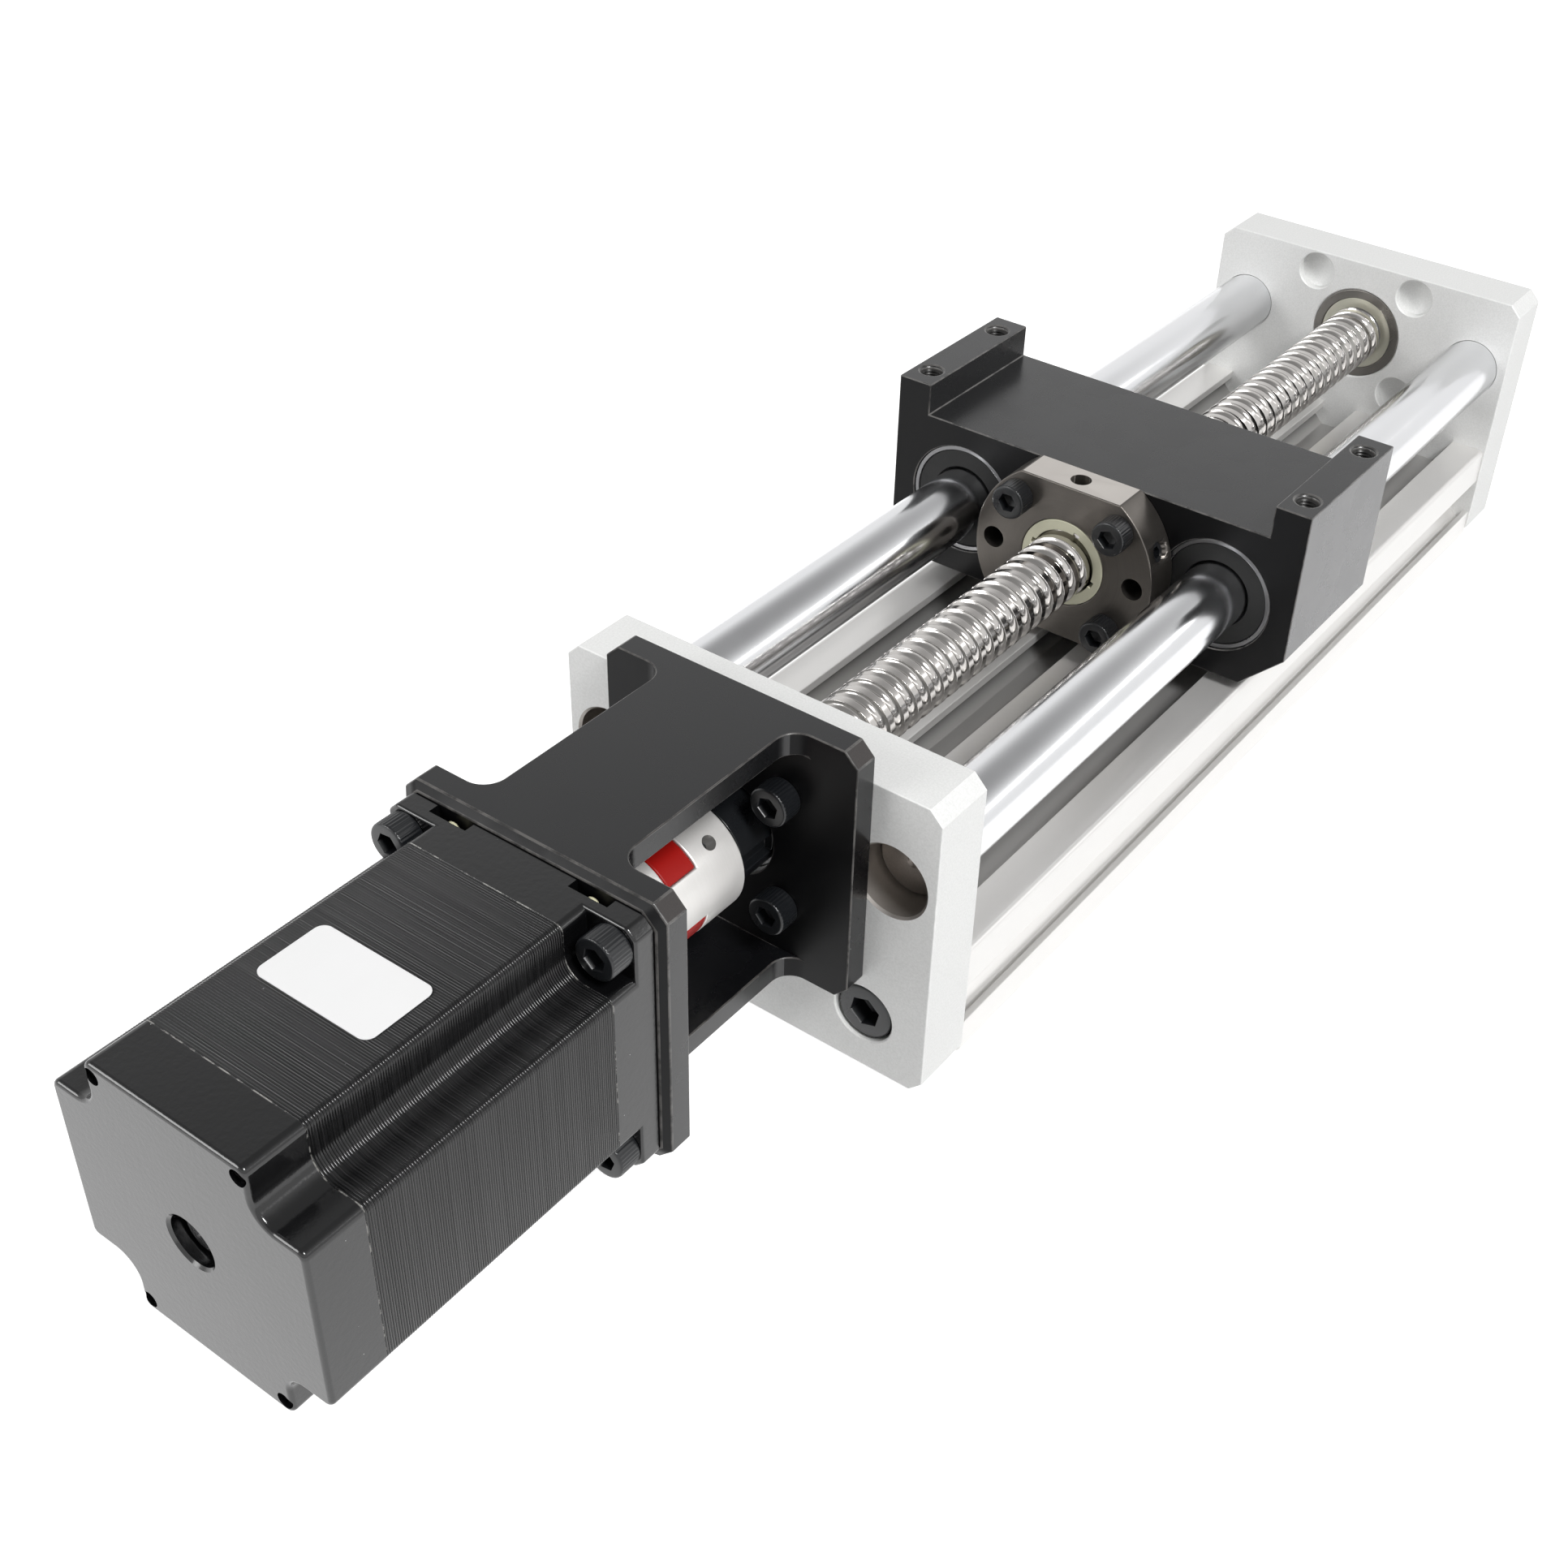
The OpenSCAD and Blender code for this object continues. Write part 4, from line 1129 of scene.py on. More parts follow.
class Growth(Sheet):
    """A geometry node tree with named inputs that ends in Set Material."""

    def __init__(self, name: str, sizes: dict[str, float]) -> None:
        """Makes the tree with its inputs.

        Args:
            name: Name of the tree.
            sizes: Names of the size inputs with their defaults.
        """
        super().__init__(bpy.data.node_groups.new(name, "GeometryNodeTree"))
        face = self.tree.interface
        kinds = {"Shape": "Geometry", **dict.fromkeys(sizes, "Float"), "Finish": "Material"}
        self.keys: dict[str, str] = {}
        for label, kind in kinds.items():
            item = face.new_socket(name=label, in_out="INPUT", socket_type=f"NodeSocket{kind}")
            self.keys[label] = item.identifier
            if label in sizes:
                item.default_value = sizes[label]
        face.new_socket(name="Shape", in_out="OUTPUT", socket_type="NodeSocketGeometry")
        self.inputs = {socket.name: Wire(self, socket) for socket in self.add("NodeGroupInput").outputs}
        self.output = self.add("NodeGroupOutput").inputs[0]

    def shaped(self, mesh: Wire, spot: Wire, distance: float) -> Wire:
        """Moves the points of a mesh to a position field and merges those that meet.

        Args:
            mesh: The mesh.
            spot: Place of each point.
            distance: Points that are closer than this are merged.

        Returns:
            The shaped mesh.
        """
        moved = self.named("GeometryNodeSetPosition", "Geometry", Geometry=mesh, Position=spot)
        return self.named("GeometryNodeMergeByDistance", "Geometry", Geometry=moved, Distance=distance)

    def steps(self, value: Wire, points: Sequence[Point]) -> Wire:
        """Maps a value from 0 to 1 through straight lines between points.

        Args:
            value: The value to map.
            points: Points as (value, result), both from 0 to 1.

        Returns:
            The result.
        """
        node = self.add("ShaderNodeFloatCurve")
        curve = node.mapping.curves[0]
        while len(curve.points) < len(points):
            curve.points.new(0.5, 0.5)
        for spot, place in zip(curve.points, sorted(points)):
            spot.location = place
            spot.handle_type = "VECTOR"
        node.mapping.update()
        self.feed(node.inputs["Value"], value)
        return Wire(self, node.outputs[0])

    def grid(self, rows: object, columns: int) -> tuple[Wire, Wire, Wire]:
        """Adds a grid whose points are numbered by row and column.

        Args:
            rows: Number of rows of points.
            columns: Points in each row.

        Returns:
            The grid, and the row and column of each point.
        """
        mesh = self.named("GeometryNodeMeshGrid", "Mesh", Vertices_X=rows, Vertices_Y=columns)
        index = self.put("GeometryNodeInputIndex")
        row = self.calc("FLOOR", (index + 0.5) / float(columns))
        return mesh, row, index - row * float(columns)

    def chance(self, low: object, high: object, seed: int) -> Wire:
        """Draws a random value for every point.

        Args:
            low: Least value.
            high: Greatest value.
            seed: Number that fixes the draws.

        Returns:
            The values.
        """
        node = self.add("FunctionNodeRandomValue", data_type="FLOAT")
        for label, value in (("Min", low), ("Max", high), ("Seed", seed)):
            self.feed(next(s for s in node.inputs if s.name == label and s.enabled), value)
        return Wire(self, next(s for s in node.outputs if s.enabled))

    def end(self, geometry: Wire) -> None:
        """Realises instances, sets the finish and ends the tree.

        Args:
            geometry: All that the tree has made.
        """
        real = self.put("GeometryNodeRealizeInstances", geometry)
        done = self.named("GeometryNodeSetMaterial", "Geometry", Geometry=real, Material=self.inputs["Finish"])
        self.feed(self.output, done)

    def grow(self, name: str, finish: Finish, shape: bpy.types.Mesh | None = None, **sizes: float) -> bpy.types.Mesh:
        """Runs the tree once and keeps the plain mesh.

        Args:
            name: Name of the mesh.
            finish: Finish for all of it.
            shape: Mesh that the tree starts from, if it needs one.
            sizes: Values for the tree's inputs, with underscores for spaces.

        Returns:
            The mesh, with no modifier behind it.
        """
        carrier = linked(name + " carrier", shape or bpy.data.meshes.new(name + " seed"))
        modifier = carrier.modifiers.new("grow", "NODES")
        modifier.node_group = self.tree
        for label, value in sizes.items():
            modifier[self.keys[label.replace("_", " ")]] = value
        modifier[self.keys["Finish"]] = finish.material()
        return evaluated(carrier)


THREAD_SEGMENTS = 64
# Places across one lead, from the middle of a crest to the middle of the next, as shares of the lead
THREAD_COLUMNS = (
    0.0, 0.10, 0.150, 0.170, 0.179, 0.188, 0.205, 0.24, 0.29, 0.35, 0.42, 0.5,
    0.58, 0.65, 0.71, 0.76, 0.795, 0.812, 0.821, 0.830, 0.850, 0.90, 1.0,
)
SCREW_COLUMNS = 145
# Rows along a cap screw: radius as a share of the head's, x as a share of the thread size, hexagon, knurl, shank
SCREW_ROWS = (
    (0.0, -0.42, 0, 0, 0), (0.30, -0.45, 0, 0, 0), (1.0, -0.5, 1, 0, 0), (1.0, -0.96, 1, 0, 0),
    (1.0, -1.0, 1.06, 0, 0), (0.86, -1.0, 0, 0, 0), (0.92, -0.992, 0, 0, 0), (0.97, -0.965, 0, 0, 0),
    (0.995, -0.92, 0, 0.3, 0), (1.0, -0.88, 0, 1, 0), (1.0, -0.12, 0, 1, 0), (0.985, -0.07, 0, 0.3, 0),
    (0.97, -0.02, 0, 0, 0), (0.94, 0.0, 0, 0, 0), (0.0, 0.0, 0, 0, 1), (0.0, 0.0, 0, 0, 2), (0.0, 0.0, 0, 0, 3),
)


def thread_tree() -> Growth:
    """Ball screw thread: rows of points across one lead follow the helix and are clamped to both ends.

    Returns:
        The tree.
    """
    g = Growth("Ball screw thread", {
        "Start": 0.0, "End": 0.1, "Lead": 0.005, "Radius": 0.008, "Ball Radius": 0.0016, "Ball Circle": 0.0084,
        "Phase": 0.0, "Height": 0.0, "Edge": 0.0003, "Fade": 0.0005,
    })
    start, end, lead, full, ball, circle, phase, height, edge, fade = list(g.inputs.values())[1:11]
    segments, last = float(THREAD_SEGMENTS), len(THREAD_COLUMNS) - 1.0
    mesh, row, column = g.grid(g.calc("CEIL", ((end - start) / lead + 2.0) * segments), len(THREAD_COLUMNS))
    along = g.steps(column / last, [(i / last, share) for i, share in enumerate(THREAD_COLUMNS)]) * lead
    raw_x = (start - lead) + (row / segments) * lead + along
    angle = g.calc("FRACT", (row + 0.25) / segments) * TURN + phase
    off = along - lead * 0.5
    groove = circle - g.calc("SQRT", g.calc("MAXIMUM", ball * ball - off * off, 0.0))
    near = g.smooth_range(raw_x, start, start + fade)
    far = g.smooth_range(raw_x, end - fade, end, 1.0, 0.0)
    radius = full - (full - g.calc("SMOOTH_MIN", groove, full, edge)) * (near * far)
    x = g.calc("MINIMUM", g.calc("MAXIMUM", raw_x, start), end)
    spot = g.vector(x, radius * g.calc("COSINE", angle), radius * g.calc("SINE", angle) + height)
    g.end(g.shaped(mesh, spot, 0.004 * MM))
    return g


def stack_tree() -> Growth:
    """Stack of thin plates: one plate's rim repeated along X, some a hair smaller than others.

    Returns:
        The tree.
    """
    g = Growth("Lamination stack", {"Count": 100.0, "Pitch": 0.0005, "Start": 0.0, "Height": 0.0, "Uneven": 0.0006})
    plate, count, pitch, start, height, uneven = list(g.inputs.values())[:6]
    first, step = g.vector(start, 0.0, height), g.vector(pitch, 0.0, 0.0)
    line = g.named("GeometryNodeMeshLine", "Mesh", Count=count, Start_Location=first, Offset=step)
    scale = g.chance(uneven * -1.0, 0.0, 7) + 1.0
    sizes = g.vector(1.0, scale, scale)
    g.end(g.named("GeometryNodeInstanceOnPoints", "Instances", Points=line, Instance=plate, Scale=sizes))
    return g


def screw_tree() -> Growth:
    """Socket head cap screws: one turned and knurled screw on each point of the shape.

    Returns:
        The tree.
    """
    g = Growth("Socket head cap screws", {
        "Head": 0.0085, "Thread": 0.005, "Socket": 0.004, "Shank": 0.02, "Teeth": 36.0, "Knurl": 0.00016, "Way": 1.0,
    })
    seats, head, thread, socket, length, teeth, knurl, way = list(g.inputs.values())[:8]
    last = len(SCREW_ROWS) - 1.0
    mesh, row, column = g.grid(len(SCREW_ROWS), SCREW_COLUMNS)

    def by_row(values: Sequence[float]) -> Wire:
        """Picks a row's value.

        Args:
            values: One value for each row.

        Returns:
            The value at each point.
        """
        low, high = min(values), max(values)
        points = [(i / last, (v - low) / (high - low)) for i, v in enumerate(values)]
        return g.steps(row / last, points) * (high - low) + low

    share, place, is_hex, is_knurl, shank = [by_row(values) for values in zip(*SCREW_ROWS)]
    round_share = column / (SCREW_COLUMNS - 1.0)
    turn = round_share * TURN
    sixth = math.pi / 3
    hexagon = (socket * 0.5) / g.calc("COSINE", g.calc("FRACT", turn / sixth) * sixth - sixth / 2)
    wave = g.calc("ABSOLUTE", g.calc("FRACT", round_share * teeth) - 0.5) * 2.0
    plain = (head * 0.5) * share - wave * (is_knurl * knurl)
    on_hex = g.calc("GREATER_THAN", is_hex, 0.5)
    on_shank = g.calc("GREATER_THAN", shank, 0.5) * g.calc("LESS_THAN", shank, 2.5)
    radius = on_hex * (hexagon * is_hex) + (1.0 - on_hex) * plain + on_shank * (thread * 0.5)
    x = place * thread + g.calc("GREATER_THAN", shank, 1.5) * length
    spot = g.vector(x * way, radius * g.calc("COSINE", turn), radius * g.calc("SINE", turn) * way)
    screw = g.shaped(mesh, spot, 0.002 * MM)
    spin = g.put("FunctionNodeEulerToRotation", g.vector(g.chance(0.0, sixth, 3), 0.0, 0.0))
    g.end(g.named("GeometryNodeInstanceOnPoints", "Instances", Points=seats, Instance=screw, Rotation=spin))
    return g


# -------------------------------------------------------------- sub-assemblies


@dataclass(frozen=True)
class ScrewSize:
    """Sizes of a socket head cap screw. Its head is as high as its thread is wide."""

    head: float
    thread: float
    socket: float
    teeth: int = 36


@dataclass
class CapScrews(Maker):
    """Socket head cap screws with knurled heads, as sets of one size on one body."""

    tree: Growth = field(default_factory=screw_tree)
    small: ScrewSize = ScrewSize(8.5 * MM, 5 * MM, 4 * MM)
    large: ScrewSize = ScrewSize(13 * MM, 8 * MM, 6 * MM, 48)

    def fit(self, name: str, nodes: Sequence[str], size: ScrewSize, body: Body, way: int = 1) -> None:
        """Makes one set in the places of its CAD nodes.

        Args:
            name: Name of the set.
            nodes: The CAD screws it stands for.
            size: Sizes of its screws.
            body: The body that the set rides on.
            way: 1 where the heads face the motor, or -1.
        """
        seats, shank = [], 0.0
        for node in nodes:
            low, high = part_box(node)
            y, z, _ = axis_of(node)
            seats.append((low.x + size.thread if way > 0 else high.x - size.thread, y, z))
            shank = high.x - low.x - size.thread
        points = bpy.data.meshes.new(name + " seats")
        points.from_pydata(seats, [], [])
        bm = solid_of([self.tree.grow(
            name, OXIDE, points, Head=size.head, Thread=size.thread, Socket=size.socket, Shank=shank,
            Teeth=float(size.teeth), Way=float(way),
        )])
        face_out(bm)
        self.settle(from_bmesh(name, bm, 40.0), OXIDE, Slot.OXIDE, nodes, body)

    def build(self) -> None:
        """Makes every set of the module."""
        for end, way in (("motor", 1), ("far", -1)):
            nodes = [f"{end}_plate_screw_{side}" for side in SIDES]
            self.fit(f"{end}_plate_screws", nodes, self.large, Body.BASE, way)
        for part, body in (("housing", Body.BASE), ("motor", Body.BASE), ("nut", Body.CARRIAGE)):
            self.fit(f"{part}_screws", [f"{part}_screw_{i}" for i in range(1, 5)], self.small, body)


@dataclass
class Bed(Maker):
    """The slotted rail and both end plates."""

    rim: float = 0.3 * MM
    chamfer: float = 3 * MM
    head_r: float = 6.9 * MM
    head_depth: float = 8.6 * MM
    thread_r: float = 4.4 * MM
    play: float = 0.05 * MM
    edge: float = 0.3 * MM
    seat_edge: float = 0.4 * MM
    rod_edge: float = 0.5 * MM
    rod_wall: float = 0.7 * MM
    ledge: float = 3 * MM
    ledge_wall: float = 2.5 * MM
    seat_depth: float = 8.2 * MM
    recess_at: float = 15 * MM
    recess_r: float = 5.2 * MM
    recess_depth: float = 2.4 * MM
    drill_point: float = 3.2 * MM

    def bore(
        self, faces: Point, steps: Sequence[Point], place: Point, broken: float, segments: int = 64, tip: float = 0.0
    ) -> Solid:
        """Makes the cutter of a stepped hole along X with a broken outer edge.

        Args:
            faces: Place of the face that the hole starts in, and of the opposite one.
            steps: Radius and depth of each step from the face inwards.
            place: Y and Z of the hole.
            broken: Size of the broken edge.
            segments: Faces round it.
            tip: Length of the drill point at the end, if any.

        Returns:
            The cutter.
        """
        face, back = faces
        way = 1 if back > face else -1
        first = steps[0][0]
        profile = [(face - way * MM, 0.0), (face - way * MM, first + broken + MM), (face + way * broken, first)]
        for (radius, depth), (wider, _) in zip(steps, [(first, 0.0), *steps]):
            if radius < wider:
                profile.append((profile[-1][0], radius))
            profile.append((face + way * depth, radius))
        profile.append((profile[-1][0] + way * tip, 0.0))
        return turned_bmesh(profile, place, segments)

    def plate(self, name: str, node: str, end: str, seat: str) -> None:
        """Makes one end plate with its bores, counterbores and bearing seat.

        Args:
            name: Name of the piece.
            node: CAD plate that it stands for.
            end: Which end's screws hold it: motor or far.
            seat: CAD bearing ring that sits in it.
        """
        low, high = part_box(node)
        c, half, deep = self.chamfer, high.y, high.x - low.x + MM
        outside, inside = (low.x, high.x), (high.x, low.x)
        if low.x > 0:
            outside, inside = inside, outside
        tools, rods = [], []
        for side in SIDES:
            y, z, r = axis_of(f"guide_rod_{side}")
            tools.append(self.bore(outside, [(r + self.play, deep)], (y, z), self.rod_edge, 96))
            rods.append((y, z, r + self.rod_wall))
            steps = [(self.head_r, self.head_depth), (self.thread_r, deep)]
            tools.append(self.bore(outside, steps, axis_of(f"{end}_plate_screw_{side}")[:2], self.edge))
        y, z, r = axis_of(seat)
        depth, face = (deep - self.ledge_wall, outside) if low.x < 0 else (self.seat_depth, inside)
        tools.append(self.bore(face, [(r + self.play, depth), (r - self.ledge, deep)], (y, z), self.seat_edge, 96))
        if low.x > 0:
            steps = [(self.recess_r, self.recess_depth)]
            for place in quadrants(self.recess_at, self.recess_at, (y, z)):
                tools.append(self.bore(inside, steps, place, self.edge, tip=self.drill_point))
        corners = [
            (half - c, 0.0), (half, c), (half, high.z - c), (half - c, high.z), (c - half, high.z),
            (-half, high.z - c), (-half, c), (c - half, 0.0),
        ]
        solid = combined(prism_bmesh(corners, (low.x, high.x), (self.rim, self.rim), 3), tools)
        piece = self.settle(smooth_piece(name, solid, 30.0), BLASTED, Slot.PLATE, [node])

        def bored(face: bpy.types.MeshPolygon) -> bool:
            """Tells whether a face lies inside one of the rods' holes.

            Args:
                face: A face of the plate.

            Returns:
                True inside a hole.
            """
            spot = face.center
            within = low.x + 0.01 * MM < spot.x < high.x - 0.01 * MM
            return within and any(math.hypot(spot.y - y, spot.z - z) < r for y, z, r in rods)

        self.recoat(piece, BORED, bored)

    def build(self) -> None:
        """Makes the rail and the plates."""
        self.machined("rail", ["base_rail"], EXTRUDED, Slot.RAIL, 0.25 * MM, 10 * MM)
        self.plate("plate_at_motor", "motor_end_plate", "motor", "near_bearing_outer")
        self.plate("plate_at_far_end", "far_end_plate", "far", "far_bearing_outer")


@dataclass
class Rods(Maker):
    """The two guide rods."""

    chamfer: float = 0.8 * MM
    centre_r: float = 1.3 * MM
    centre_depth: float = 1.6 * MM

    def build(self) -> None:
        """Makes both rods."""
        for side in SIDES:
            low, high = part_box(f"guide_rod_{side}")
            y, z, r = axis_of(f"guide_rod_{side}")
            half = [(self.centre_depth, 0.0), (0.0, self.centre_r), (0.0, r - self.chamfer), (self.chamfer, r)]
            corners = [(low.x + x, at) for x, at in half] + [(high.x - x, at) for x, at in reversed(half)]
            finish = replace(CHROME, name=f"Ground chrome {side}", axis=(y, z))
            bar = from_bmesh(f"rod_{side}", turned_bmesh(softened(corners, 0.1 * MM, 2, False), (y, z), 128))
            self.settle(bar, finish, Slot.CHROME, [f"guide_rod_{side}"])
            self.recoat(bar, SAWN, lambda face: abs(face.normal.x) > 0.5)


@dataclass
class BallScrew(Maker):
    """The screw with its rolled ball groove, journals, bearings and lock nut."""

    body: Body = Body.DRIVE
    lead: float = 5 * MM
    ball_r: float = 1.66 * MM
    ball_circle_r: float = 8.42 * MM
    radius: float = 8 * MM
    thread_start: float = -135 * MM
    thread_end: float = 134.5 * MM
    groove_at: float = -131.0863 * MM
    shoulder_r: float = 7 * MM
    edge: float = 0.12 * MM
    shoulder: float = 2.5 * MM
    rod_r: float = 8 * MM
    weld_at: float = 0.006 * MM
    seat_r: float = 5 * MM
    shaft_r: float = 4 * MM
    tip: float = 0.5 * MM
    centre_r: float = 2.2 * MM
    centre_depth: float = 1.6 * MM

    def journals(self) -> list[list[Point]]:
        """Gives the profiles of both plain ends, from the thread outwards.

        Returns:
            The end at the motor and the far end, as points (x, radius).
        """
        low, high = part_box("ball_screw")
        lock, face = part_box("lock_nut")[0].x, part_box("far_bearing_inner")[0].x
        start, end, tip = self.thread_start, self.thread_end, self.tip
        near = [
            (start, self.radius), (start, self.shoulder_r), (start - self.shoulder, self.shoulder_r),
            (start - self.shoulder, self.seat_r), (lock, self.seat_r), (lock, self.shaft_r),
            (low.x + tip, self.shaft_r), (low.x, self.shaft_r - tip), (low.x, 0.0),
        ]
        far = [
            (end, self.radius), (end, self.shoulder_r), (face, self.shoulder_r), (face, self.seat_r),
            (high.x - tip, self.seat_r), (high.x, self.seat_r - tip), (high.x, self.centre_r),
            (high.x - self.centre_depth, 0.0),
        ]
        return [near, far]

    def build(self) -> None:
        """Makes the screw, its bearings and its lock nut."""
        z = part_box("guide_rod_left")[0].z + self.rod_r
        phase = TURN * (self.thread_start + self.lead / 2 - self.groove_at) / self.lead
        meshes = [thread_tree().grow(
            "thread", SCREW_STEEL, Start=self.thread_start, End=self.thread_end, Lead=self.lead, Radius=self.radius,
            Ball_Radius=self.ball_r, Ball_Circle=self.ball_circle_r, Phase=phase, Height=z, Edge=self.edge,
        )]
        first = phase + 0.25 * TURN / THREAD_SEGMENTS
        for profile in self.journals():
            meshes.append(mesh_of("journal", turned_bmesh(profile, (0.0, z), THREAD_SEGMENTS, phase=first)))
        bm = solid_of(meshes)
        weld(bm, self.weld_at)
        face_out(bm)
        self.settle(from_bmesh("screw", bm, 50.0), SCREW_STEEL, Slot.SCREW, ["ball_screw"])
        self.machined("lock_nut_ring", ["lock_nut"], OXIDE, Slot.OXIDE, 0.2 * MM)
        inner = ["near_bearing_inner", "far_bearing_inner"]
        self.machined("bearing_inner_rings", inner, BEARING, Slot.BEARING, 0.3 * MM)
        for name, node, finish, slot, edge in (
            ("bearing_outer_near", "near_bearing_outer", BEARING, Slot.BEARING, 0.3 * MM),
            ("bearing_outer_far", "far_bearing_outer", RACE, Slot.DARK_STEEL, 0.3 * MM),
            ("bearing_shield_far", "far_bearing_shield", SHIELD, Slot.SHIELD, 0.1 * MM),
        ):
            self.machined(name, [node], finish, slot, edge, body=Body.BASE)


@dataclass
class Coupling(Maker):
    """The jaw coupling and the black housing round it."""

    body: Body = Body.DRIVE

    def build(self) -> None:
        """Makes hubs, spider, set screws and housing."""
        for end in ("screw", "motor"):
            self.machined(f"hub_on_{end}", [f"coupling_hub_{end}"], COUPLING, Slot.COUPLING, 0.35 * MM, 10 * MM)
        self.machined("spider", ["coupling_spider"], SPIDER, Slot.SPIDER, 0.4 * MM)
        self.machined("set_screws", ["grub_screw_screw", "grub_screw_motor"], OXIDE, Slot.OXIDE, 0.12 * MM)
        nodes = ["coupling_housing"]
        housing = self.machined("housing", nodes, ANODISED, Slot.ANODISED, 0.28 * MM, 12 * MM, Body.BASE)

        def bevelled(face: bpy.types.MeshPolygon) -> bool:
            """Tells whether a face is one of the long bevels between the sides."""
            slanted = 0.6 < abs(face.normal.y) < 0.8 and 0.6 < abs(face.normal.z) < 0.8
            return slanted and face.area > 4 * MM * MM

        # Faces towards the motor take the painted shade
        self.recoat(housing, SHADED_ANODISE, lambda face: face.normal.x < -0.6)
        self.recoat(housing, MILLED, bevelled)


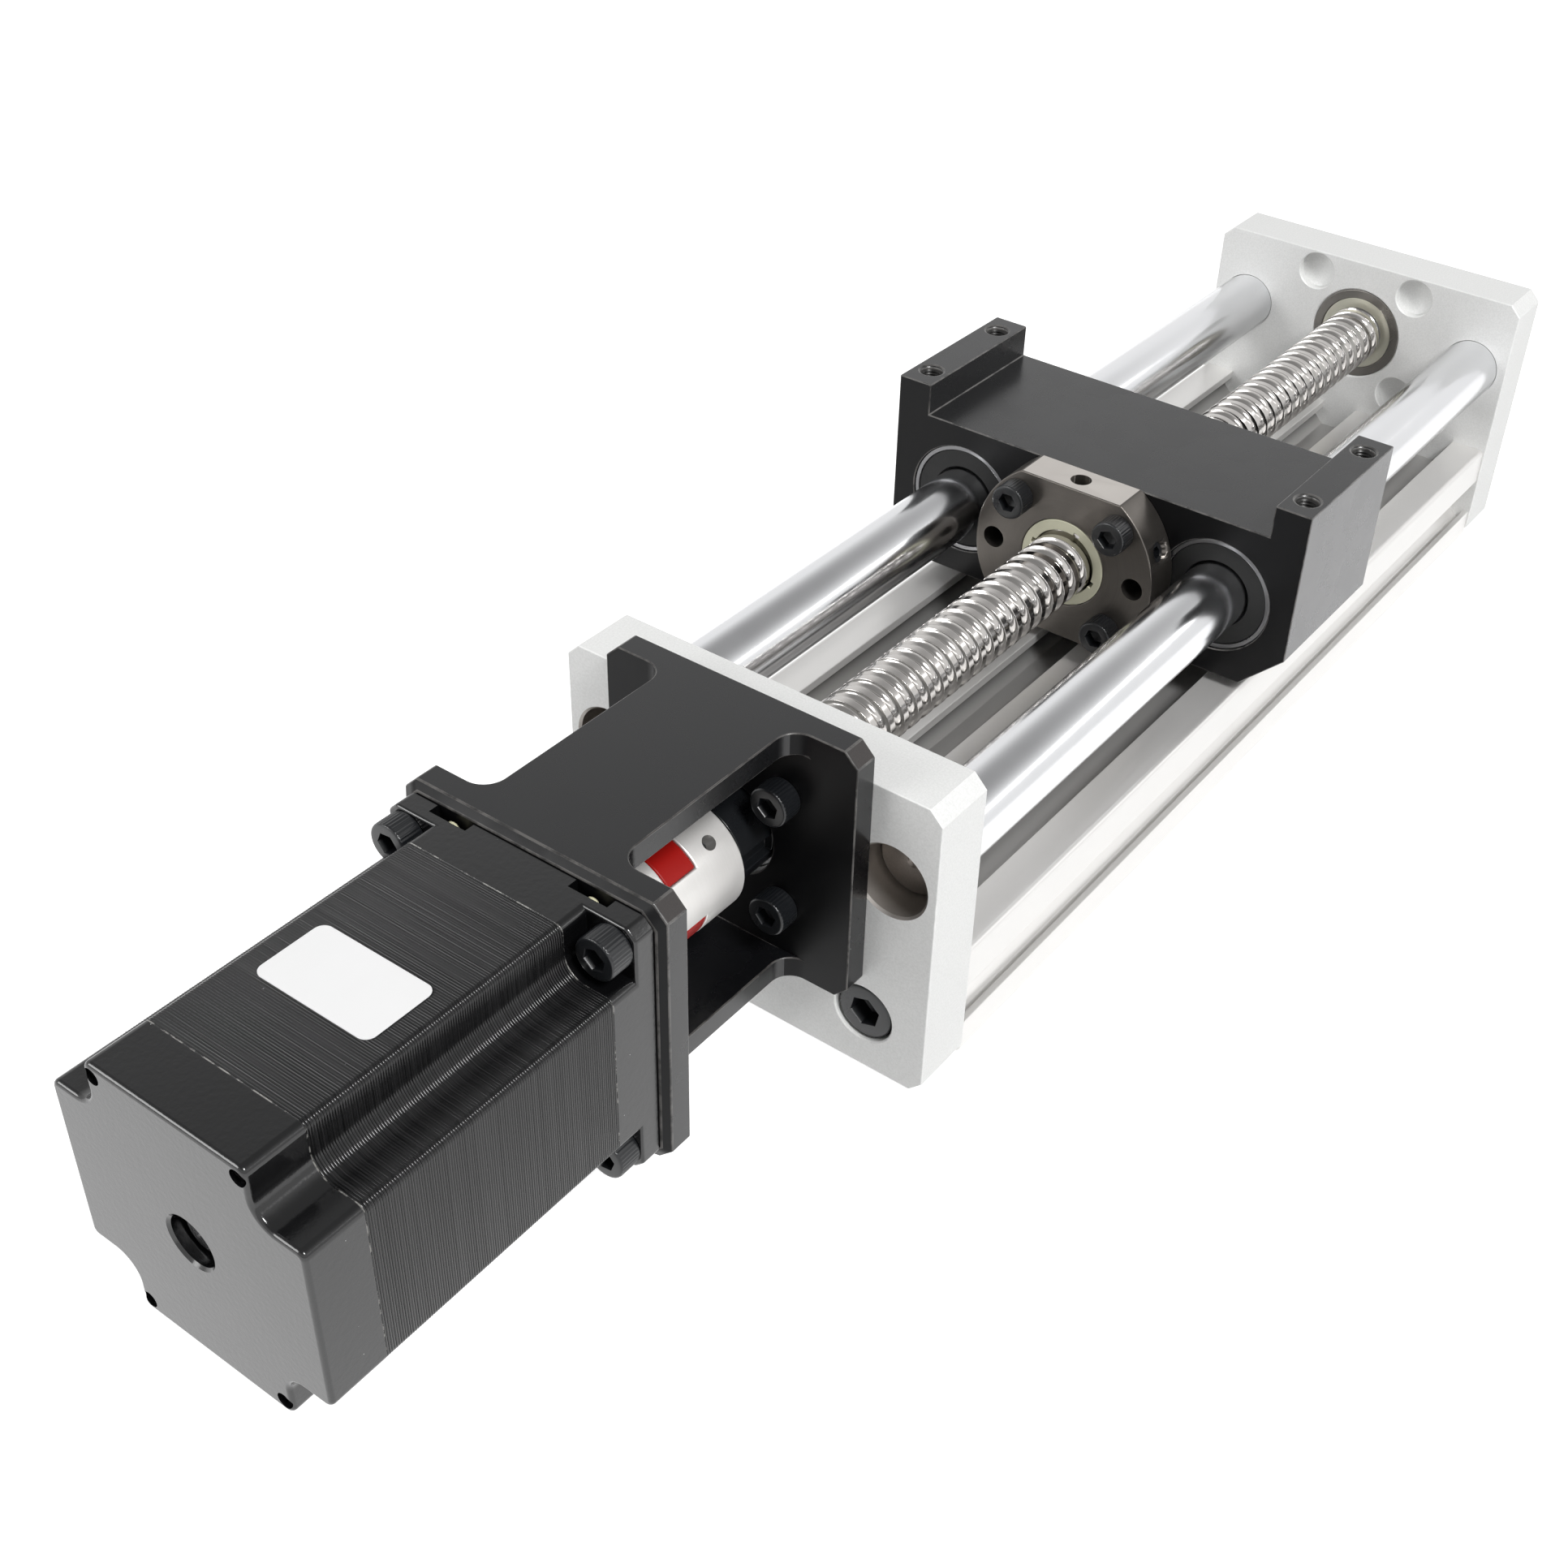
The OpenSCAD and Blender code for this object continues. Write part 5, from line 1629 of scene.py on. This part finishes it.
@dataclass
class Motor(Maker):
    """The stepper motor: painted end caps and a laminated stack."""

    pitch: float = 0.5 * MM
    groove: float = 0.13 * MM
    rim: tuple[Point, ...] = ((0.0, 1.0), (0.1, 0.5), (0.25, 0.12), (0.5, 0.0), (0.75, 0.12), (0.9, 0.5), (1.0, 1.0))
    wall: float = 17.8 * MM
    corner: float = 1.6 * MM
    inner: float = 4.5 * MM
    case: Point = (16.0 * MM, 25.7 * MM)
    case_r: float = 1.6 * MM
    case_seat: float = 4.2 * MM
    hole_at: float = 23.57 * MM
    hole_r: float = 2.7 * MM
    bearing_r: float = 11.05 * MM
    bearing_depth: float = 7 * MM
    shaft_r: float = 4.4 * MM
    rear_r: float = 5 * MM
    lead_play: float = 0.1 * MM
    lead_depth: float = 3 * MM
    boss_r: float = 19.05 * MM
    boss_height: float = 1.6 * MM
    flange: float = 4.6 * MM
    flange_corner: float = 2 * MM
    relief: Place = (2.4 * MM, 4.3 * MM, 3 * MM)
    rear_rims: Point = (0.9 * MM, 0.12 * MM)
    neck_rims: Point = (0.12 * MM, 0.1 * MM)
    flange_rims: Point = (0.6 * MM, 0.3 * MM)

    def middle(self) -> Point:
        """Gives the Y and Z of the motor's axis."""
        return 0.0, axis_of("motor_stator")[1]

    def notched(self) -> list[Point]:
        """Gives the outline of caps and laminations, with a notch along each corner.

        Returns:
            Counter-clockwise points in Y and Z.
        """
        low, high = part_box("motor_stator")
        far, notch, near = (high.y - low.y) / 2 - self.corner, self.wall + self.inner, self.wall - self.corner
        quarter: list[Point] = []
        for y, z, r, a0, a1, n in (
            (far, near, self.corner, 0.0, 90.0, 6), (notch, notch, self.inner, 270.0, 180.0, 10),
            (near, far, self.corner, 0.0, 90.0, 6),
        ):
            for a in (math.radians(a0 + (a1 - a0) * i / n) for i in range(n + 1)):
                quarter.append((y + r * math.cos(a), z + r * math.sin(a)))
        flat = quarter + [(-y, z) for y, z in reversed(quarter)]
        flat += [(-y, -z) for y, z in quarter] + [(y, -z) for y, z in reversed(quarter)]
        # An inset of nothing rounds the points as the flange's are, so that their walls meet
        return [(y, z + self.middle()[1]) for y, z in inset(flat, 0.0)]

    def rear_cap(self) -> None:
        """Makes the cast rear cap with its screw holes, bore and lead opening."""
        low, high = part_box("motor_rear_cap")
        out, past, seat = low.x - MM, high.x + MM, low.x + self.case_seat
        bore, r = high.x - self.bearing_depth, self.rear_r
        flare = [(out, 0), (out, r + 0.9 * MM), (low.x, r + 0.5 * MM), (low.x + 0.5 * MM, r), (bore, r), (bore, 0)]
        tools = [
            turned_bmesh(flare, self.middle(), 64),
            stepped_bmesh(bore - 0.01 * MM, [(past, self.bearing_r)], self.middle(), 64),
        ]
        hole = [
            (out, 0), (out, self.case_r), (seat, self.case_r), (seat, self.case_r - 0.01 * MM), (past, self.case_r),
            (past, 0),
        ]
        tools += [turned_bmesh(hole, place, 32) for place in quadrants(*self.case, self.middle())]
        lead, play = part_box("motor_lead_grommet"), self.lead_play
        start = (lead[0].x - play, high.y - self.lead_depth, lead[0].z - play)
        tools.append(block_bmesh(start, (past, high.y + MM, lead[1].z + play)))
        cap = combined(prism_bmesh(self.notched(), (low.x, high.x), self.rear_rims, 5), tools)
        self.settle(smooth_piece("cap_rear", cap, 30.0), PAINT, Slot.MOTOR, ["motor_rear_cap"])

    def front_cap(self) -> None:
        """Makes the front cap: a notched neck and the square flange with its reliefs."""
        low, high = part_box("motor_front_cap")
        mid, h, c = self.middle()[1], (high.y - low.y) / 2, self.flange_corner
        face = high.x - self.boss_height
        back, out = face - self.flange, low.x - MM
        square = [(h, c - h), (h, h - c), (h - c, h), (c - h, h), (-h, h - c), (-h, c - h), (c - h, -h), (h - c, -h)]
        outline = [(y, z + mid) for y, z in softened(square, 0.5 * MM, 3)]
        neck = prism_bmesh(self.notched(), (low.x, back + MM), self.neck_rims)
        rim, r = 0.3 * MM, self.boss_r
        profile = [(face - MM, 0), (face - MM, r), (high.x - rim, r), (high.x, r - rim), (high.x, 0)]
        boss = turned_bmesh(profile, self.middle(), 96)
        cap = combined(prism_bmesh(outline, (back, face), self.flange_rims), [neck, boss], Join.ADD)
        bore = [(low.x + self.bearing_depth, self.bearing_r), (high.x + MM, self.shaft_r)]
        tools = [stepped_bmesh(out, bore, self.middle(), 64)]
        for place in quadrants(self.hole_at, self.hole_at, self.middle()):
            tools.append(stepped_bmesh(back - MM, [(high.x, self.hole_r)], place, 32))
        depth, width, below = self.relief
        for y, z in quadrants(*self.case, self.middle()):
            tools.append(stepped_bmesh(out, [(high.x, self.case_r)], (y, z), 24))
            reach = (mid + h + MM, z - below) if z > mid else (z + below, mid - h - MM)
            tools.append(block_bmesh((face - depth, y - width, min(reach)), (face + MM, y + width, max(reach))))
        self.settle(smooth_piece("cap_front", combined(cap, tools), 30.0), PAINT, Slot.MOTOR, ["motor_front_cap"])

    def stack(self) -> None:
        """Makes the laminated stack between the caps."""
        low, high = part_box("motor_stator")
        count = round((high.x - low.x) / self.pitch)
        pitch = (high.x - low.x) / count
        mid = self.middle()[1]
        outline = [(y, z - mid) for y, z in self.notched()]
        bm = bmesh.new()
        rings = [
            [bm.verts.new((share * pitch, y, z)) for y, z in inset(outline, self.groove * depth)]
            for share, depth in self.rim
        ]
        for a, b in zip(rings, rings[1:]):
            strip(bm, a, b)
        bm = solid_of([stack_tree().grow(
            "stack", LAMINATION, mesh_of("plate", bm), Count=float(count), Pitch=pitch, Start=low.x, Height=mid
        )])
        weld(bm, 0.004 * MM)
        bmesh.ops.holes_fill(bm, edges=[e for e in bm.edges if e.is_boundary], sides=0)
        face_out(bm)
        self.settle(from_bmesh("stack", bm, 62.0), LAMINATION, Slot.LAMINATIONS, ["motor_stator"])

    def case_screws(self) -> None:
        """Makes the long screws that clamp the motor: dark heads at the rear, plated ends at the front."""
        low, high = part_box("motor_case_screws")
        head = [(1.5, 0), (1.3, 0.7), (0, 0.78), (0, 1.2), (0.25, 1.5), (3, 1.5), (3, 0)]
        tail = [(0.45, 1.45), (0.15, 1.2), (0, 0.7), (0, 0)]
        head = [(low.x + x * MM, r * MM) for x, r in head]
        end = [(low.x + 3 * MM, r * MM) for r in (0, 1.45)] + [(high.x - x * MM, r * MM) for x, r in tail]
        for name, profile, finish, slot, nodes in (
            ("case_screw_heads", head, DARK_STEEL, Slot.OXIDE, []),
            ("case_screw_ends", end, ZINC, Slot.ZINC, ["motor_case_screws"]),
        ):
            bars = [turned_bmesh(profile, place, 30) for place in quadrants(*self.case, self.middle())]
            self.settle(from_bmesh(name, joined(bars)), finish, slot, nodes)

    def build(self) -> None:
        """Makes caps, stack, label and the small pieces."""
        self.front_cap()
        self.rear_cap()
        self.stack()
        self.case_screws()
        self.machined("label", ["motor_label"], LABEL, Slot.LABEL, 0.04 * MM)
        self.machined("lead_grommet", ["motor_lead_grommet"], RUBBER, Slot.RUBBER, 0.2 * MM)
        self.machined("shaft", ["motor_shaft"], BEARING, Slot.BEARING, 0.15 * MM, body=Body.DRIVE)
        self.machined("rotor", ["motor_rotor"], BEARING, Slot.BEARING, 0.3 * MM, body=Body.DRIVE)
        bearings = ["motor_bearing_front", "motor_bearing_rear"]
        self.machined("motor_bearings", bearings, BEARING, Slot.BEARING, 0.3 * MM)


@dataclass
class Carriage(Maker):
    """The black carriage block with the ball nut and the rod bearings."""

    body: Body = Body.CARRIAGE
    hole_spacing: float = 30 * MM
    hole_r: float = 2.5 * MM
    hole_depth: float = 12 * MM
    sunk_r: float = 3.1 * MM
    thread_at: float = 0.9 * MM
    thread_pitch: float = 0.8 * MM
    thread_turns: int = 12
    post: float = 9 * MM

    def at_holes(self, profile: Sequence[Point], closed: bool) -> Solid:
        """Revolves a profile round each of the four table holes.

        Args:
            profile: Points as (depth, radius).
            closed: True for a ring.

        Returns:
            The four shapes as one geometry.
        """
        low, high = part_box("carriage_block")
        shapes = []
        for x, y in quadrants(self.hole_spacing / 2, high.y - self.post / 2, ((low.x + high.x) / 2, 0.0)):
            bm = turned_bmesh(profile, (0.0, 0.0), 32, closed)
            turn = Matrix.Translation((x, y, high.z)) @ Matrix.Rotation(math.pi / 2, 4, "Y")
            bmesh.ops.transform(bm, matrix=turn, verts=bm.verts[:])
            shapes.append(bm)
        return joined(shapes)

    def threads(self) -> None:
        """Makes the cut threads in the four table holes: a ring of ridges inside each."""
        root, crest, half = self.hole_r - 0.02 * MM, self.hole_r - 0.4 * MM, self.thread_pitch / 2
        ridges = [(self.thread_at + i * half, crest if i % 2 else root) for i in range(2 * self.thread_turns + 1)]
        ring = [(ridges[0][0], self.hole_r + 0.05 * MM), *ridges, (ridges[-1][0], self.hole_r + 0.05 * MM)]
        self.settle(from_bmesh("table_threads", self.at_holes(ring, True)), THREAD, Slot.ANODISED)

    def block(self) -> None:
        """Makes the block with four countersunk table holes."""
        wide, r, deep = self.sunk_r, self.hole_r, self.hole_depth
        cutter = [(-MM, 0.0), (-MM, wide + MM), (0.0, wide), (wide - r, r), (deep, r), (deep, 0.0)]
        bm = combined(merged_nodes(["carriage_block"]), [self.at_holes(cutter, False)])
        round_edges(bm, 0.3 * MM, 6.6 * MM)
        block = self.settle(smooth_piece("carriage", bm), ANODISED, Slot.ANODISED, ["carriage_block"])
        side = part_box("carriage_block")[1].y - 0.1 * MM
        # End faces take the painted shade
        self.recoat(block, SHADED_ANODISE, lambda face: abs(face.normal.x) > 0.9)
        # Sides take the painted sheen
        self.recoat(block, PAINTED_SHEEN_ANODISE, lambda face: abs(face.center.y) > side)

    def build(self) -> None:
        """Makes the block, the nut and the bearings."""
        self.block()
        self.threads()
        nut = self.machined("nut", ["ball_nut"], NUT_STEEL, Slot.NUT, 0.3 * MM, 12 * MM)
        self.recoat(nut, FLAT, lambda face: abs(face.normal.z) > 0.98 and face.area > 20 * MM * MM)
        self.machined("wipers", ["nut_wiper_front", "nut_wiper_rear"], WIPER, Slot.WIPER, 0.2 * MM)
        self.machined("port_plug", ["nut_port_plug"], OXIDE, Slot.NUT, 0.15 * MM)
        self.machined("balls", ["nut_balls"], BEARING, Slot.BEARING, 0.0)
        for side in SIDES:
            self.machined(f"linear_{side}", [f"linear_bearing_{side}"], SHELL, Slot.BEARING, 0.2 * MM)
            self.machined(f"cage_{side}", [f"ball_cage_{side}"], CAGE, Slot.CAGE, 0.2 * MM)
            seals = [f"rod_seal_{side}_front", f"rod_seal_{side}_rear"]
            self.machined(f"seals_{side}", seals, RUBBER, Slot.RUBBER, 0.25 * MM)


# ---------------------------------------------------------------------- studio


@dataclass(frozen=True)
class Lamp:
    """A soft rectangular lamp."""

    name: str
    at: Place
    size: Point
    watts: float
    lights: bool = True

    def place(self, look_at: Place) -> None:
        """Puts the lamp into the scene.

        Args:
            look_at: The point that it faces.
        """
        data = bpy.data.lights.new(self.name, "AREA")
        data.shape = "RECTANGLE"
        data.size, data.size_y = self.size
        data.energy = self.watts
        obj = linked(self.name, data)
        obj.visible_diffuse = self.lights
        obj.location = self.at
        obj.rotation_euler = (Vector(look_at) - Vector(self.at)).to_track_quat("-Z", "Y").to_euler()


@dataclass
class Studio:
    """Pale floor, white surroundings, soft lamps and the camera."""

    lamps: tuple[Lamp, ...] = (
        Lamp("key", (-0.40, -1.10, 1.44), (0.5, 0.5), 26.6),
        Lamp("fill", (-1.17, 0.75, 0.685), (0.6, 0.6), 7.0),
        # A weak strip that is only mirrored in gloss
        Lamp("strip", (0.95, -1.05, 0.78), (1.5, 0.16), 1.5, False),
    )

    floor_size: float = 6.0
    floor_z: float = -0.2 * MM
    paper: Colour = (0.55, 0.55, 0.55)
    near: Point = (-0.34, -0.25)
    near_glow: float = 0.8
    sky_band: Point = (0.4, 0.85)
    sky_top: float = 0.35
    sky_light: float = 0.33
    look_at: Place = (-0.06, 0.0, 0.04)
    camera_at: Place = (-0.3958, -0.1903, 0.2953)
    yaw: float = 0.5985
    pitch: float = -0.6454
    roll: float = 0.0466
    lens: float = 46.02
    sensor: float = 36.0
    clip: float = 0.01
    shift: Point = (-0.0388, -0.0096)

    def floor(self) -> None:
        """Makes the floor: white where it is seen, pale where it lights the object."""
        bm = bmesh.new()
        half = self.floor_size / 2
        places = [(-half, -half), (half, -half), (half, half), (-half, half)]
        bm.faces.new([bm.verts.new((x, y, self.floor_z)) for x, y in places])
        obj = from_bmesh("floor", bm)
        material = bpy.data.materials.new("Floor")
        material.use_nodes = True
        s = Sheet(material.node_tree)
        s.tree.nodes.clear()
        seen = s.calc("MINIMUM", 1.0, s.path("Camera") + (s.path("Glossy") + s.path("Transmission")))
        near = s.smooth_range(s.parts(s.spot())[0], *self.near, 1.0, self.near_glow)
        paper = s.put("ShaderNodeBsdfDiffuse", self.paper)
        glow = s.put("ShaderNodeEmission", (1.0, 1.0, 1.0), seen * near)
        s.feed(s.add("ShaderNodeOutputMaterial").inputs[0], s.put("ShaderNodeAddShader", paper, glow))
        obj.data.materials.append(material)

    def sky(self) -> None:
        """Makes white surroundings that grow darker overhead."""
        world = bpy.data.worlds.new("Studio")
        bpy.context.scene.world = world
        world.use_nodes = True
        s = Sheet(world.node_tree)
        s.tree.nodes.clear()
        overhead = s.smooth_range(s.parts(s.spot("Generated"))[2], *self.sky_band, 1.0, self.sky_top)
        shown, glossy = s.calc("MAXIMUM", s.path("Camera"), s.path("Transmission")), s.path("Glossy")
        other = glossy * overhead + (1.0 - glossy) * self.sky_light
        back = s.put("ShaderNodeBackground", (1.0, 1.0, 1.0), shown + (1.0 - shown) * other)
        s.feed(s.add("ShaderNodeOutputWorld").inputs[0], back)

    def camera(self) -> None:
        """Makes the camera at the object's three-quarter view from the motor end."""
        cp, sp = math.cos(self.pitch), math.sin(self.pitch)
        ahead = Vector((cp * math.cos(self.yaw), cp * math.sin(self.yaw), sp))
        level = ahead.cross(Vector((0, 0, 1))).normalized()
        up = level.cross(ahead)
        c, s = math.cos(self.roll), math.sin(self.roll)
        right, top = level * c + up * s, up * c - level * s
        data = bpy.data.cameras.new("camera")
        data.lens = self.lens
        data.sensor_width = self.sensor
        data.shift_x, data.shift_y = self.shift
        data.clip_start = self.clip
        obj = linked("camera", data)
        turn = Matrix((right, top, -ahead)).transposed().to_4x4()
        obj.matrix_world = Matrix.Translation(self.camera_at) @ turn
        bpy.context.scene.camera = obj

    def build(self) -> None:
        """Makes the stage, the lamps and the camera."""
        bpy.context.scene.view_settings.view_transform = "Standard"
        self.floor()
        self.sky()
        for lamp in self.lamps:
            lamp.place(self.look_at)
        self.camera()


def main() -> None:
    logging.basicConfig(level=logging.INFO, format="%(name)s: %(message)s")
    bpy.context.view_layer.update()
    Studio().build()
    for part in (Bed(), Rods(), BallScrew(), Coupling(), Motor(), Carriage(), CapScrews()):
        part.build()
        for name in part.made:
            mesh = bpy.data.objects[name].data
            LOG.info("%s: %s, %d faces", type(part).__name__, name, len(mesh.polygons))


if __name__ == "__main__":
    main()
